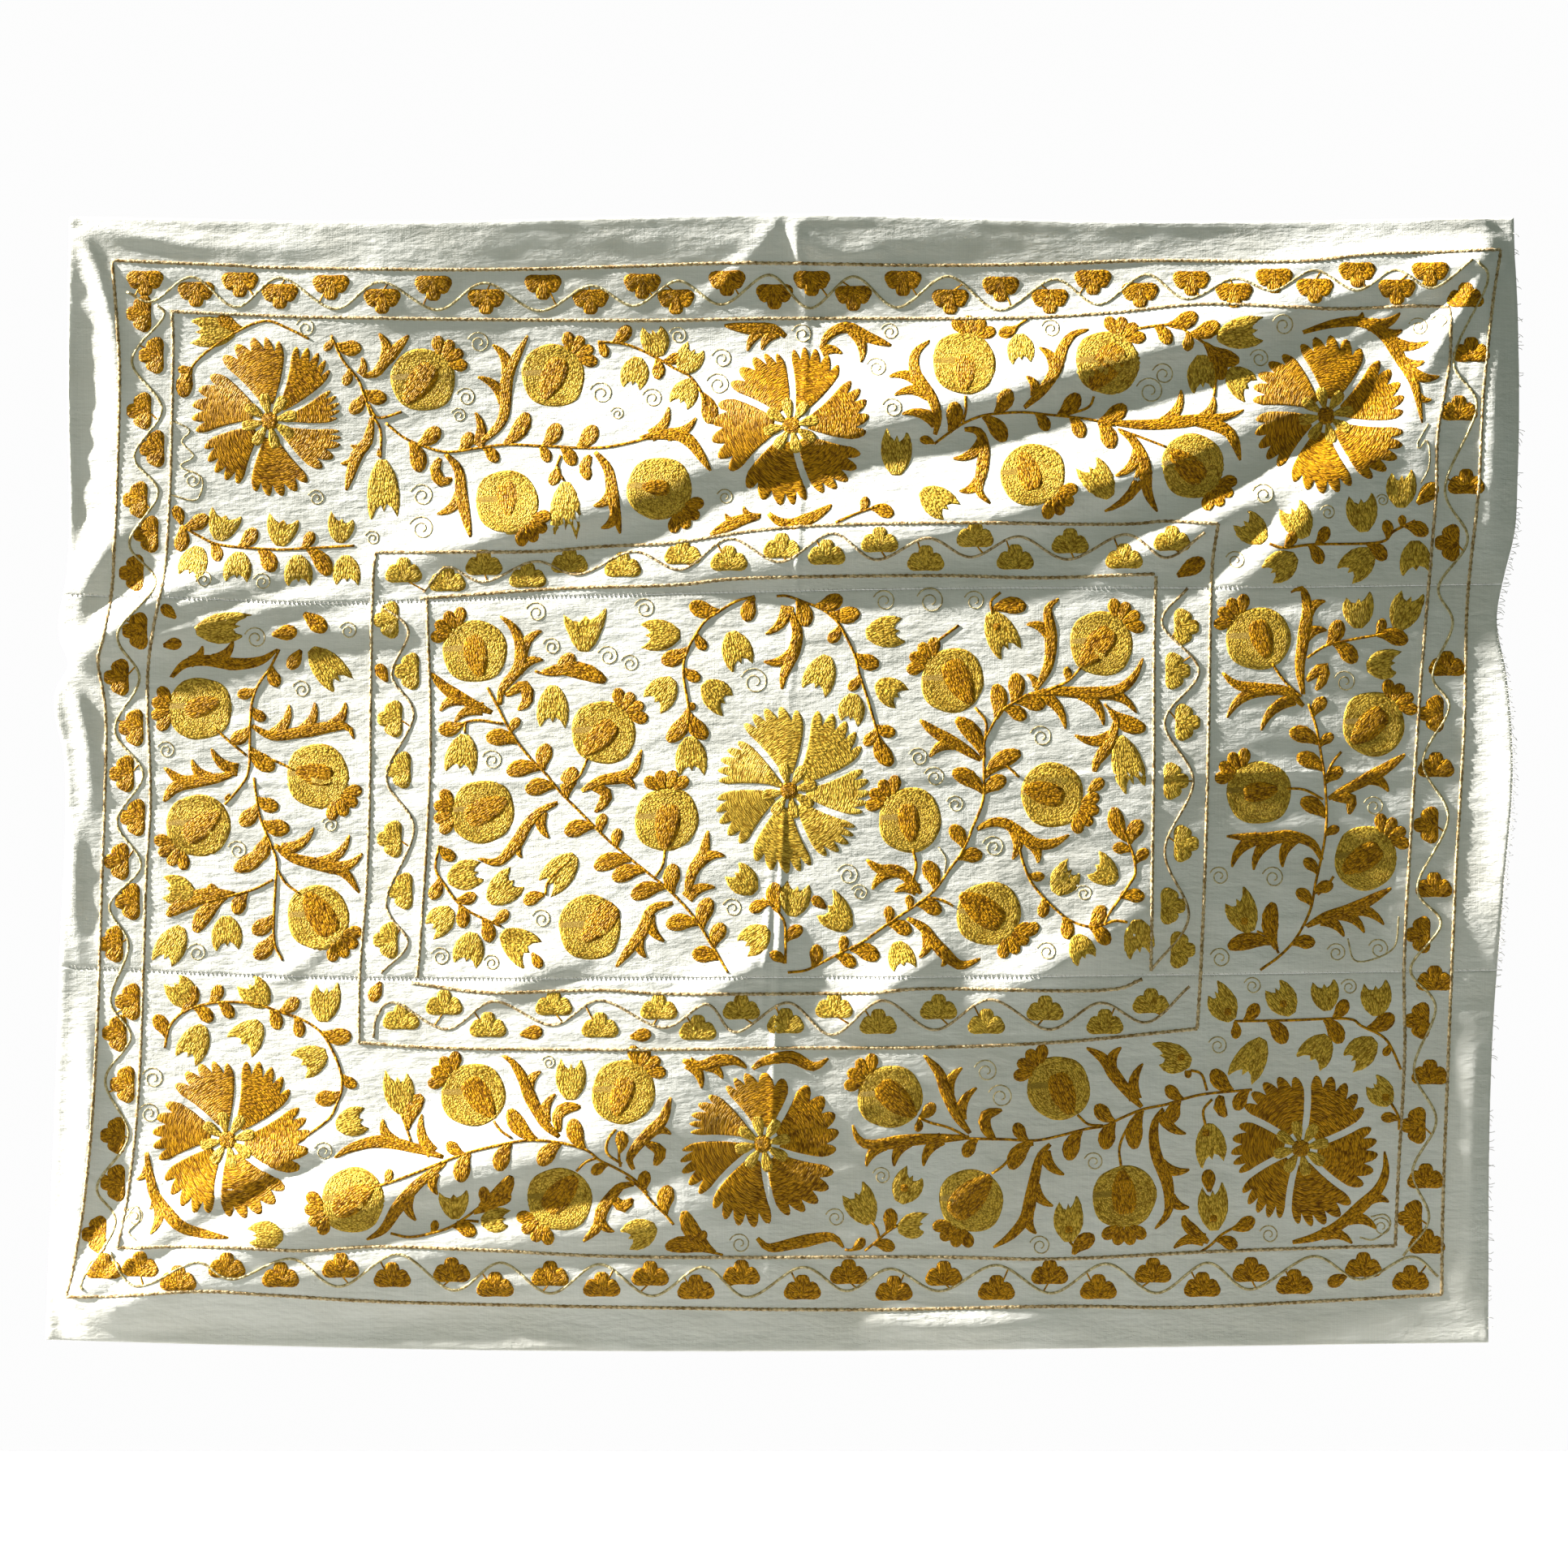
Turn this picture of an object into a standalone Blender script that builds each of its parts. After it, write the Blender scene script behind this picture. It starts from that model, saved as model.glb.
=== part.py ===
"""Embroidered wall hanging, sewn from three widths of hand-loomed cotton.

The cloth hangs in the XZ plane and faces -Y, with its origin at the middle of its top edge.
A place on it is given as across, right of the centre line, and down, below the top edge, in centimetres.
Where the cloth is pinched to hold it up, its folds fan out from the pinch.
"""

from collections import namedtuple

import bmesh
import bpy
import numpy as np

CENTIMETRE = 0.01
MILLIMETRE = 0.001

# The cloth
CLOTH_WIDTH = 199.0
CLOTH_THICKNESS = 1.5 * MILLIMETRE
HEM_WIDTH = 1.2
HEM_STEP = 0.5
HEM_THICKNESS = 2.6 * MILLIMETRE
SEAM_GAP = 0.03
COTTON_COLOUR = (0.83, 0.82, 0.76, 1.0)
COTTON_ROUGHNESS = 0.92

# The grid that carries the folds
FIELD_COLUMNS = 42
MARGIN_COLUMNS = 4
MARGIN_WIDTH = 9.0
PANEL_ROWS = 19
CURVE_STEPS = 24
NARROWEST_FOLD = 2.2

# The outline as the cloth hangs: each row is a place along the edge, then where the edge lies there
EdgePoint = namedtuple("EdgePoint", "along offset")

LEFT_EDGE = [
    EdgePoint(0.0, -97.9),
    EdgePoint(24.0, -98.2),
    EdgePoint(48.0, -98.1),
    EdgePoint(58.0, -99.1),
    EdgePoint(61.6, -98.0),
    EdgePoint(64.5, -99.5),
    EdgePoint(75.0, -98.5),
    EdgePoint(102.0, -99.1),
    EdgePoint(137.0, -100.4),
    EdgePoint(155.0, -101.1),
]
RIGHT_EDGE = [
    EdgePoint(0.0, 100.0),
    EdgePoint(17.0, 100.3),
    EdgePoint(36.0, 100.2),
    EdgePoint(45.0, 99.7),
    EdgePoint(50.0, 98.5),
    EdgePoint(56.0, 97.4),
    EdgePoint(64.0, 98.6),
    EdgePoint(75.0, 99.4),
    EdgePoint(94.0, 98.2),
    EdgePoint(115.0, 97.0),
    EdgePoint(155.0, 96.7),
]
TOP_EDGE = [
    EdgePoint(-98.0, 0.2),
    EdgePoint(-50.0, 0.9),
    EdgePoint(0.0, 0.0),
    EdgePoint(50.0, 1.0),
    EdgePoint(100.0, 0.3),
]
UPPER_SEAM = [
    EdgePoint(-98.0, 52.0),
    EdgePoint(-80.0, 52.6),
    EdgePoint(-62.0, 53.2),
    EdgePoint(-45.0, 52.7),
    EdgePoint(-20.0, 52.1),
    EdgePoint(20.0, 51.3),
    EdgePoint(70.0, 51.1),
    EdgePoint(99.0, 50.6),
]
LOWER_SEAM = [
    EdgePoint(-99.0, 102.9),
    EdgePoint(-75.0, 104.0),
    EdgePoint(0.0, 104.2),
    EdgePoint(60.0, 103.9),
    EdgePoint(98.0, 103.4),
]
BOTTOM_EDGE = [
    EdgePoint(-101.0, 154.0),
    EdgePoint(-50.0, 155.0),
    EdgePoint(0.0, 155.3),
    EdgePoint(50.0, 155.1),
    EdgePoint(97.0, 154.6),
]

# A fold is a ridge towards the viewer, or a trough where its height is negative. It runs on one curve
# through its start, middle and end, given as across and down. Its crest is the share of that curve at
# which it is highest, and its two widths are those of its upper left and its lower right side. Heights
# are in millimetres, and places and widths in centimetres.
Fold = namedtuple("Fold", "name height crest start middle end upper_width lower_width")

FOLDS = [
    Fold("belly", 38.0, 0.50, (-98, 152), (20, 108), (99, 3), 75.0, 42.0),
    Fold("top trough", -18.0, 0.55, (97, 2), (30, 15), (-55, 16), 11.0, 9.0),
    Fold("long upper ridge", 20.0, 0.35, (98, 4), (35, 22.5), (-54, 44.5), 9.0, 3.2),
    Fold("long middle ridge", 19.0, 0.60, (97, 7), (45, 37), (-30, 50), 7.0, 3.0),
    Fold("short inner ridge", 14.0, 0.50, (80, 31), (60, 41.5), (38, 51), 3.5, 2.6),
    Fold("short outer ridge", 11.0, 0.50, (82, 30), (70, 42), (56, 56), 3.0, 3.0),
    Fold("steep right ridge", 20.0, 0.40, (98, 5), (85, 30), (60, 56), 6.0, 16.0),
    Fold("upper right ray", 8.0, 0.40, (99, 3), (84, 13), (66, 22), 2.5, 1.5),
    Fold("lower right ray", 8.0, 0.40, (99, 3), (91, 15), (84, 26), 2.0, 1.5),
    Fold("right margin, top", 7.0, 0.50, (97, 8), (97, 30), (96, 50), 2.2, 2.2),
    Fold("right margin lip", 12.0, 0.50, (99.5, 56), (100.5, 78), (98.5, 104), 4.0, 4.0),
    Fold("right margin, foot", 7.0, 0.50, (94.5, 108), (94, 130), (93.5, 152), 2.5, 2.5),
    Fold("left margin gutter", -12.0, 0.50, (-97, 3), (-95.8, 28), (-97.5, 60), 2.2, 3.0),
    Fold("left tuck", 11.0, 0.50, (-98, 61), (-94.5, 48.5), (-88, 43), 3.0, 1.8),
    Fold("left ray 1", 7.0, 0.50, (-98, 61), (-84, 51.5), (-72, 47.5), 2.5, 1.2),
    Fold("left ray 2", 13.0, 0.45, (-98, 61.5), (-82, 53), (-60, 48), 3.5, 2.0),
    Fold("left ray 3", 10.0, 0.50, (-98, 62), (-78, 55.5), (-54, 51.5), 2.5, 1.6),
    Fold("left ray 4", 8.0, 0.60, (-98, 62.5), (-72, 57.5), (-44, 56.5), 3.0, 2.0),
    Fold("inner left ridge", 12.0, 0.50, (-58, 49.5), (-32, 42.5), (-8, 38), 4.0, 2.2),
    Fold("corner ray 1", 12.0, 0.50, (-98, 149), (-76, 133), (-54, 124), 3.5, 2.0),
    Fold("corner ray 2", 24.0, 0.45, (-99, 150), (-58, 135), (-8, 124), 6.0, 4.0),
    Fold("corner ray 3", 17.0, 0.45, (-99, 151), (-55, 142.5), (0, 136), 4.5, 3.0),
    Fold("corner ray 4", 12.0, 0.45, (-99, 152), (-50, 147), (10, 144), 3.5, 3.0),
    Fold("left margin, foot", 8.0, 0.50, (-100, 150), (-95.5, 130), (-96, 106), 2.2, 1.6),
    Fold("lower ridge 1", 5.0, 0.50, (-44, 109), (-34, 104), (-26, 101), 3.0, 2.0),
    Fold("lower ridge 2", 8.0, 0.50, (-16, 110), (-6, 104), (3, 98), 3.0, 2.0),
    Fold("lower ridge 3", 8.0, 0.50, (6, 112), (14, 106), (24, 99), 3.0, 2.0),
    Fold("lower ridge 4", 10.0, 0.50, (26, 108), (40, 101), (54, 92), 3.5, 2.5),
    Fold("foot ridge", 8.0, 0.50, (8, 151), (25, 152), (44, 151.5), 2.2, 2.2),
]

# Each panel hangs between two lines, and a hem closes the top and the bottom of the cloth
Panel = namedtuple("Panel", "name upper lower top_hem bottom_hem")

PANELS = [
    Panel("panel_top", TOP_EDGE, UPPER_SEAM, True, False),
    Panel("panel_middle", UPPER_SEAM, LOWER_SEAM, False, False),
    Panel("panel_bottom", LOWER_SEAM, BOTTOM_EDGE, False, True),
]


def clear_scene():
    """Remove the objects that the scene starts with."""
    for item in list(bpy.data.objects):
        bpy.data.objects.remove(item, do_unlink=True)


def edge_offset(edge, along):
    """Where an edge lies at each place along it, on a smooth curve through the edge's points."""
    places = np.array([point.along for point in edge])
    offsets = np.array([point.offset for point in edge])
    slopes = np.gradient(offsets, places)
    index = np.clip(np.searchsorted(places, along) - 1, 0, len(places) - 2)
    span = places[index + 1] - places[index]
    share = np.clip((along - places[index]) / span, 0.0, 1.0)
    rest = 1.0 - share
    start = (1.0 + 2.0 * share) * rest**2 * offsets[index]
    end = (3.0 - 2.0 * share) * share**2 * offsets[index + 1]
    bend = share * rest * span * (rest * slopes[index] - share * slopes[index + 1])
    return start + end + bend


def fold_curve(fold):
    """Points along a fold, on the parabola through its start, middle and end."""
    share = np.linspace(0.0, 1.0, CURVE_STEPS + 1)[:, None]
    start, middle, end = (np.array(place, dtype=float) for place in (fold.start, fold.middle, fold.end))
    control = 2.0 * middle - (start + end) / 2.0
    return start * (1.0 - share) ** 2 + 2.0 * control * share * (1.0 - share) + end * share**2


def fold_height(fold, across, down):
    """Height of one fold, in millimetres, at each place."""
    points = fold_curve(fold)
    nearest = np.full(across.shape, np.inf)
    along = np.zeros(across.shape)
    side = np.zeros(across.shape)
    for step in range(CURVE_STEPS):
        (x0, z0), (x1, z1) = points[step], points[step + 1]
        run_x, run_z = x1 - x0, z1 - z0
        length = np.hypot(run_x, run_z)
        share = np.clip(((across - x0) * run_x + (down - z0) * run_z) / length**2, 0.0, 1.0)
        away_x = across - (x0 + share * run_x)
        away_z = down - (z0 + share * run_z)
        distance = np.hypot(away_x, away_z)
        closer = distance < nearest
        facing = 1.0 if run_x - run_z > 0.0 else -1.0
        nearest = np.where(closer, distance, nearest)
        along = np.where(closer, (step + share) / CURVE_STEPS, along)
        side = np.where(closer, facing * (run_x * away_z - run_z * away_x), side)
    width = np.where(side > 0.0, fold.lower_width, fold.upper_width)
    width = np.maximum(width, NARROWEST_FOLD)
    rise = np.sin(np.pi * along ** (np.log(0.5) / np.log(fold.crest)))
    return fold.height * rise * np.exp(-((nearest / width) ** 2))


def relief(across, down):
    """How far the cloth stands towards the viewer of its top middle, in metres."""
    across = np.append(across, 0.0)
    down = np.append(down, 0.0)
    height = sum(fold_height(fold, across, down) for fold in FOLDS)
    return (height[:-1] - height[-1]) * MILLIMETRE


def column_shares():
    """Shares of the width at which the grid's columns stand, close together in the margins."""
    left = np.linspace(HEM_WIDTH + HEM_STEP, MARGIN_WIDTH, MARGIN_COLUMNS)
    field = np.linspace(MARGIN_WIDTH, CLOTH_WIDTH - MARGIN_WIDTH, FIELD_COLUMNS + 1)
    right = np.linspace(CLOTH_WIDTH - MARGIN_WIDTH, CLOTH_WIDTH, MARGIN_COLUMNS + 1)
    return np.concatenate([[0.0, HEM_WIDTH], left[:-1], field[:-1], right]) / CLOTH_WIDTH


def row_shares(panel, depth):
    """Shares of a panel's depth at which the grid's rows lie, with two rows for a hem."""
    first, last = 0.0, depth
    before, after = [], []
    if panel.top_hem:
        before = [0.0, HEM_WIDTH]
        first = HEM_WIDTH + HEM_STEP
    if panel.bottom_hem:
        after = [depth - HEM_WIDTH, depth]
        last = depth - HEM_WIDTH - HEM_STEP
    rows = np.linspace(first, last, PANEL_ROWS + 1)
    return np.concatenate([before, rows, after]) / depth


def panel_points(panel):
    """Front and back points of a panel, as arrays of rows by columns by coordinates."""
    high = edge_offset(panel.upper, np.zeros(1))[0]
    low = edge_offset(panel.lower, np.zeros(1))[0]
    rows, columns = np.meshgrid(row_shares(panel, low - high), column_shares(), indexing="ij")
    level = high + rows * (low - high)
    left = edge_offset(LEFT_EDGE, level)
    across = left + columns * (edge_offset(RIGHT_EDGE, level) - left)
    upper = edge_offset(panel.upper, across) + SEAM_GAP / 2.0
    lower = edge_offset(panel.lower, across) - SEAM_GAP / 2.0
    down = upper + rows * (lower - upper)

    hemmed = columns * CLOTH_WIDTH <= HEM_WIDTH
    if panel.top_hem:
        hemmed |= rows * (low - high) <= HEM_WIDTH
    if panel.bottom_hem:
        hemmed |= (1.0 - rows) * (low - high) <= HEM_WIDTH
    thickness = np.where(hemmed, HEM_THICKNESS, CLOTH_THICKNESS)

    face = -relief(across.ravel(), down.ravel()).reshape(across.shape)
    front = np.stack([across * CENTIMETRE, face, -down * CENTIMETRE], axis=-1)
    back = np.stack([across * CENTIMETRE, face + thickness, -down * CENTIMETRE], axis=-1)
    return front, back


def rim_loop(row_count, column_count):
    """Grid places once round the rim of a panel."""
    top = [(0, column) for column in range(column_count)]
    right = [(row, column_count - 1) for row in range(1, row_count)]
    bottom = [(row_count - 1, column) for column in range(column_count - 2, -1, -1)]
    left = [(row, 0) for row in range(row_count - 2, 0, -1)]
    return top + right + bottom + left


def build_panel(panel):
    """Make one width of cloth as a closed sheet, and return its object."""
    front_points, back_points = panel_points(panel)
    row_count, column_count = front_points.shape[:2]
    places = [(row, column) for row in range(row_count) for column in range(column_count)]
    shape = bmesh.new()
    front = {place: shape.verts.new(front_points[place]) for place in places}
    back = {place: shape.verts.new(back_points[place]) for place in places}

    # Front and back are split along the same diagonal, the way the folds run, so the thin sheet never
    # crosses itself
    for row in range(row_count - 1):
        for column in range(column_count - 1):
            upper_right, lower_left = (row, column + 1), (row + 1, column)
            for triangle in (
                [(row, column), upper_right, lower_left],
                [upper_right, (row + 1, column + 1), lower_left],
            ):
                shape.faces.new([front[corner] for corner in triangle])
                shape.faces.new([back[corner] for corner in reversed(triangle)])
    loop = rim_loop(row_count, column_count)
    for here, after in zip(loop, loop[1:] + loop[:1]):
        shape.faces.new([front[after], front[here], back[here], back[after]])

    bmesh.ops.recalc_face_normals(shape, faces=shape.faces)
    mesh = bpy.data.meshes.new(panel.name)
    shape.to_mesh(mesh)
    shape.free()
    mesh.shade_smooth()
    item = bpy.data.objects.new(panel.name, mesh)
    bpy.context.scene.collection.objects.link(item)
    return item


def cotton_material(name):
    """Undyed cotton, matt and warm white."""
    material = bpy.data.materials.new(name)
    material.use_nodes = True
    shader = material.node_tree.nodes["Principled BSDF"]
    shader.inputs["Base Color"].default_value = COTTON_COLOUR
    shader.inputs["Roughness"].default_value = COTTON_ROUGHNESS
    shader.inputs["Metallic"].default_value = 0.0
    return material


def main():
    clear_scene()
    for panel in PANELS:
        item = build_panel(panel)
        item.data.materials.append(cotton_material(panel.name + "_cotton"))


main()
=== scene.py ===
"""Embroidered wall hanging of three cotton widths: the cloth, its folds, seams and needlework.

A place on the cloth is given as across, right of the centre line, and down, below the top edge, in
centimetres. Heights of folds and stitches are in millimetres. The embroidery is charted motif by motif.
"""

import math
from collections import namedtuple

import bpy
import numpy as np
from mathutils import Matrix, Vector


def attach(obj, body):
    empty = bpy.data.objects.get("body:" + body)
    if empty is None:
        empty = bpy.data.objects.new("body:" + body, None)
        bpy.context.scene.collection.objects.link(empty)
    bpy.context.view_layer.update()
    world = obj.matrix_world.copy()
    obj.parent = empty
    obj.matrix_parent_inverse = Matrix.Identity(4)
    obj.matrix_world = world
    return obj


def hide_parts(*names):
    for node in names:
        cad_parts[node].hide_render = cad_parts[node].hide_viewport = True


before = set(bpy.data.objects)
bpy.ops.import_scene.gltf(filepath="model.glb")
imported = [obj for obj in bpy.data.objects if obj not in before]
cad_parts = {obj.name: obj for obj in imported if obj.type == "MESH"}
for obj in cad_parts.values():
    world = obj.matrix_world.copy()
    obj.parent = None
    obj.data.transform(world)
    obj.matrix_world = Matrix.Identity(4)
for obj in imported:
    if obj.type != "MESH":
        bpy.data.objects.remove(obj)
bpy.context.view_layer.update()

CENTIMETRE = 0.01
MILLIMETRE = 0.001

# The cloth: thickness and rise in millimetres, widths, gap and pitches in centimetres
CLOTH_WIDTH = 199.0
CLOTH_THICKNESS = 1.3
HEM_WIDTH = 1.2
HEM_RISE = 0.7
SEAM_GAP = 0.03
CLOTH_PITCH = 0.7
FINE_PITCH = 0.35
CURVE_STEPS = 24

# Each edge is given by places along it and how far across or down it lies at each of them
LEFT_EDGE = [
    (0.0, -97.9), (24.0, -98.2), (48.0, -98.1), (58.0, -99.1), (61.6, -98.0), (64.5, -99.5), (75.0, -98.5),
    (102.0, -99.1), (137.0, -100.4), (155.0, -101.1),
]
RIGHT_EDGE = [
    (0.0, 100.0), (17.0, 100.3), (36.0, 100.2), (45.0, 99.7), (50.0, 98.5), (56.0, 97.4), (64.0, 98.6),
    (75.0, 99.4), (94.0, 98.2), (115.0, 97.0), (155.0, 96.7),
]
TOP_EDGE = [(-98.0, 0.2), (-50.0, 0.9), (0.0, 0.0), (50.0, 1.0), (100.0, 0.3)]
UPPER_SEAM = [
    (-98.0, 52.0), (-80.0, 52.6), (-62.0, 53.2), (-45.0, 52.7), (-20.0, 52.1), (20.0, 51.3), (70.0, 51.1),
    (99.0, 50.6),
]
LOWER_SEAM = [(-99.0, 102.9), (-75.0, 104.0), (0.0, 104.2), (60.0, 103.9), (98.0, 103.4)]
BOTTOM_EDGE = [(-101.0, 154.0), (-50.0, 155.0), (0.0, 155.3), (50.0, 155.1), (97.0, 154.6)]

# A fold is a ridge towards the viewer, or a trough where its height is negative. It runs on one curve
# through its start, middle and end. Its crest is the share of that curve at which it is highest, and its
# two widths are those of its upper left and its lower right side.
Fold = namedtuple("Fold", "name height crest start middle end upper_width lower_width")

FOLDS = [
    Fold("belly", 38.0, 0.50, (-98, 152), (20, 108), (99, 3), 75.0, 42.0),
    Fold("top trough", -18.0, 0.55, (97, 2), (30, 15), (-55, 16), 11.0, 9.0),
    Fold("long upper ridge", 20.0, 0.35, (98, 4), (35, 22.5), (-54, 44.5), 9.0, 3.2),
    Fold("long middle ridge", 19.0, 0.60, (97, 7), (45, 37), (-30, 50), 7.0, 3.0),
    Fold("short inner ridge", 14.0, 0.50, (80, 31), (60, 41.5), (38, 51), 3.5, 2.6),
    Fold("short outer ridge", 11.0, 0.50, (82, 30), (70, 42), (56, 56), 3.0, 3.0),
    Fold("steep right ridge", 20.0, 0.40, (98, 5), (85, 30), (60, 56), 6.0, 16.0),
    Fold("upper right ray", 8.0, 0.40, (99, 3), (84, 13), (66, 22), 2.5, 1.5),
    Fold("lower right ray", 8.0, 0.40, (99, 3), (91, 15), (84, 26), 2.0, 1.5),
    Fold("right margin, top", 7.0, 0.50, (97, 8), (97, 30), (96, 50), 2.2, 2.2),
    Fold("right margin lip", 12.0, 0.50, (99.5, 56), (100.5, 78), (98.5, 104), 4.0, 4.0),
    Fold("right margin, foot", 7.0, 0.50, (94.5, 108), (94, 130), (93.5, 152), 2.5, 2.5),
    Fold("left margin gutter", -12.0, 0.50, (-97, 3), (-95.8, 28), (-97.5, 60), 2.2, 3.0),
    Fold("left tuck", 11.0, 0.50, (-98, 61), (-94.5, 48.5), (-88, 43), 3.0, 1.8),
    Fold("left ray 1", 7.0, 0.50, (-98, 61), (-84, 51.5), (-72, 47.5), 2.5, 1.2),
    Fold("left ray 2", 13.0, 0.45, (-98, 61.5), (-82, 53), (-60, 48), 3.5, 2.0),
    Fold("left ray 3", 10.0, 0.50, (-98, 62), (-78, 55.5), (-54, 51.5), 2.5, 1.6),
    Fold("left ray 4", 8.0, 0.60, (-98, 62.5), (-72, 57.5), (-44, 56.5), 3.0, 2.0),
    Fold("inner left ridge", 12.0, 0.50, (-58, 49.5), (-32, 42.5), (-8, 38), 4.0, 2.2),
    Fold("corner ray 1", 12.0, 0.50, (-98, 149), (-76, 133), (-54, 124), 3.5, 2.0),
    Fold("corner ray 2", 24.0, 0.45, (-99, 150), (-58, 135), (-8, 124), 6.0, 4.0),
    Fold("corner ray 3", 17.0, 0.45, (-99, 151), (-55, 142.5), (0, 136), 4.5, 3.0),
    Fold("corner ray 4", 12.0, 0.45, (-99, 152), (-50, 147), (10, 144), 3.5, 3.0),
    Fold("left margin, foot", 8.0, 0.50, (-100, 150), (-95.5, 130), (-96, 106), 2.2, 1.6),
    Fold("lower ridge 1", 5.0, 0.50, (-44, 109), (-34, 104), (-26, 101), 3.0, 2.0),
    Fold("lower ridge 2", 8.0, 0.50, (-16, 110), (-6, 104), (3, 98), 3.0, 2.0),
    Fold("lower ridge 3", 8.0, 0.50, (6, 112), (14, 106), (24, 99), 3.0, 2.0),
    Fold("lower ridge 4", 10.0, 0.50, (26, 108), (40, 101), (54, 92), 3.5, 2.5),
    Fold("foot ridge", 8.0, 0.50, (8, 151), (25, 152), (44, 151.5), 2.2, 2.2),
]

# Slight folds and pressed creases that only the fine cloth carries
CREASES = [
    Fold("belly crest", 7.0, 0.50, (-98, 148), (0, 116), (99, 6), 60.0, 24.0),
    Fold("left lean", 7.0, 0.50, (-30, 175), (-15, 90), (8, -6), 45.0, 70.0),
    Fold("lower middle lean", 5.0, 0.50, (4, 104), (-14, 122), (-26, 150), 26.0, 15.0),
    Fold("lower right lean", -14.0, 0.50, (30, 172), (92, 152), (118, 100), 62.0, 40.0),
    Fold("softer left gutter", 6.0, 0.50, (-97, 3), (-95.8, 28), (-97.5, 60), 2.2, 3.0),
    Fold("bottom hem ridge", 5.0, 0.35, (-101, 156.5), (-50, 157), (5, 157), 6.0, 4.0),
    Fold("top margin lean", 8.0, 0.55, (-90, -3), (10, -3), (97, -3), 6.0, 9.0),
    Fold("top ray, left", 3.0, 0.40, (0, 0.5), (-7, 8), (-16, 15), 1.2, 1.0),
    Fold("top ray, right", 3.5, 0.40, (1, 0.5), (7, 5.5), (18, 2.5), 1.2, 1.0),
    Fold("top ray, middle", 3.0, 0.40, (0.5, 0.5), (2.5, 8), (2.5, 16), 0.8, 0.8),
    Fold("corner ray, top left", 4.0, 0.40, (-97, 1.5), (-80, 4), (-58, 4.5), 1.5, 1.2),
    Fold("corner ray, inner left", 3.5, 0.40, (-97, 2), (-92, 16), (-91.5, 34), 1.0, 1.0),
    Fold("left pinch, lower", 4.0, 0.40, (-98.5, 63), (-95.5, 72), (-95, 88), 1.2, 1.0),
    Fold("left margin, middle", 4.0, 0.50, (-96, 80), (-97, 90), (-96.5, 104), 1.0, 0.9),
    Fold("bottom corner ray", 4.0, 0.40, (-100, 151), (-90, 139), (-84, 128), 1.2, 1.0),
    Fold("left streak", 3.0, 0.50, (-72, 107), (-64, 101), (-58, 97), 1.4, 1.0),
    Fold("upper crease", 1.6, 0.50, (3.6, 0), (2.2, 40), (0.6, 70), 0.45, 0.35),
    Fold("lower crease", 1.8, 0.50, (0.6, 66), (-0.9, 104), (-2.6, 155), 0.45, 0.35),
    Fold("crease beside it", 1.6, 0.45, (-1.2, 84), (-2.4, 100), (-3.0, 112), 0.4, 0.35),
    Fold("level crease, left", 1.3, 0.50, (-99, 77.4), (-50, 77.8), (2, 77.2), 0.45, 0.35),
    Fold("level crease, right", 1.3, 0.50, (-2, 77.2), (50, 76.6), (99, 76.2), 0.45, 0.35),
]

# Thin creases that fan out from a pinch: its place, the directions of the first and the last crease, the
# reach of the longest one, their number, their greatest height and the seed of their random lengths
Fan = namedtuple("Fan", "centre first last reach count height seed")

FANS = [
    Fan((-98.5, 62.0), 44.0, -34.0, 36.0, 12, 1.9, 31),
    Fan((98.0, 4.0), 184.0, 262.0, 48.0, 14, 2.0, 32),
    Fan((-99.5, 151.5), 70.0, 3.0, 46.0, 13, 2.0, 33),
    Fan((-97.0, 1.0), -4.0, -86.0, 28.0, 9, 1.5, 34),
    Fan((0.5, 0.5), -18.0, -162.0, 16.0, 9, 1.3, 35),
    Fan((96.5, 103.5), 150.0, 215.0, 20.0, 6, 1.1, 36),
]

# Fine puckers between the stitches: length across and down of one pucker, its height and its seed
Pucker = namedtuple("Pucker", "across down height seed")

PUCKERS = [
    Pucker(9.0, 2.6, 0.80, 3),
    Pucker(3.4, 1.3, 0.42, 5),
    Pucker(22.0, 14.0, 2.20, 8),
]


def heading(degrees):
    """Unit step on the cloth for a direction, counted anticlockwise from the viewer's right."""
    return np.array([math.cos(math.radians(degrees)), -math.sin(math.radians(degrees))])


def edge_offset(edge, along):
    """Where an edge lies at each place along it, on a smooth curve through the edge's points."""
    places, offsets = np.array(edge).T
    slopes = np.gradient(offsets, places)
    index = np.clip(np.searchsorted(places, along) - 1, 0, len(places) - 2)
    span = places[index + 1] - places[index]
    share = np.clip((along - places[index]) / span, 0.0, 1.0)
    rest = 1.0 - share
    start = (1.0 + 2.0 * share) * rest**2 * offsets[index]
    end = (3.0 - 2.0 * share) * share**2 * offsets[index + 1]
    bend = share * rest * span * (rest * slopes[index] - share * slopes[index + 1])
    return start + end + bend


def fold_curve(fold):
    """Points along a fold, on the parabola through its start, middle and end."""
    share = np.linspace(0.0, 1.0, CURVE_STEPS + 1)[:, None]
    start, middle, end = (np.array(place, dtype=float) for place in (fold.start, fold.middle, fold.end))
    control = 2.0 * middle - (start + end) / 2.0
    return start * (1.0 - share) ** 2 + 2.0 * control * share * (1.0 - share) + end * share**2


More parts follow.
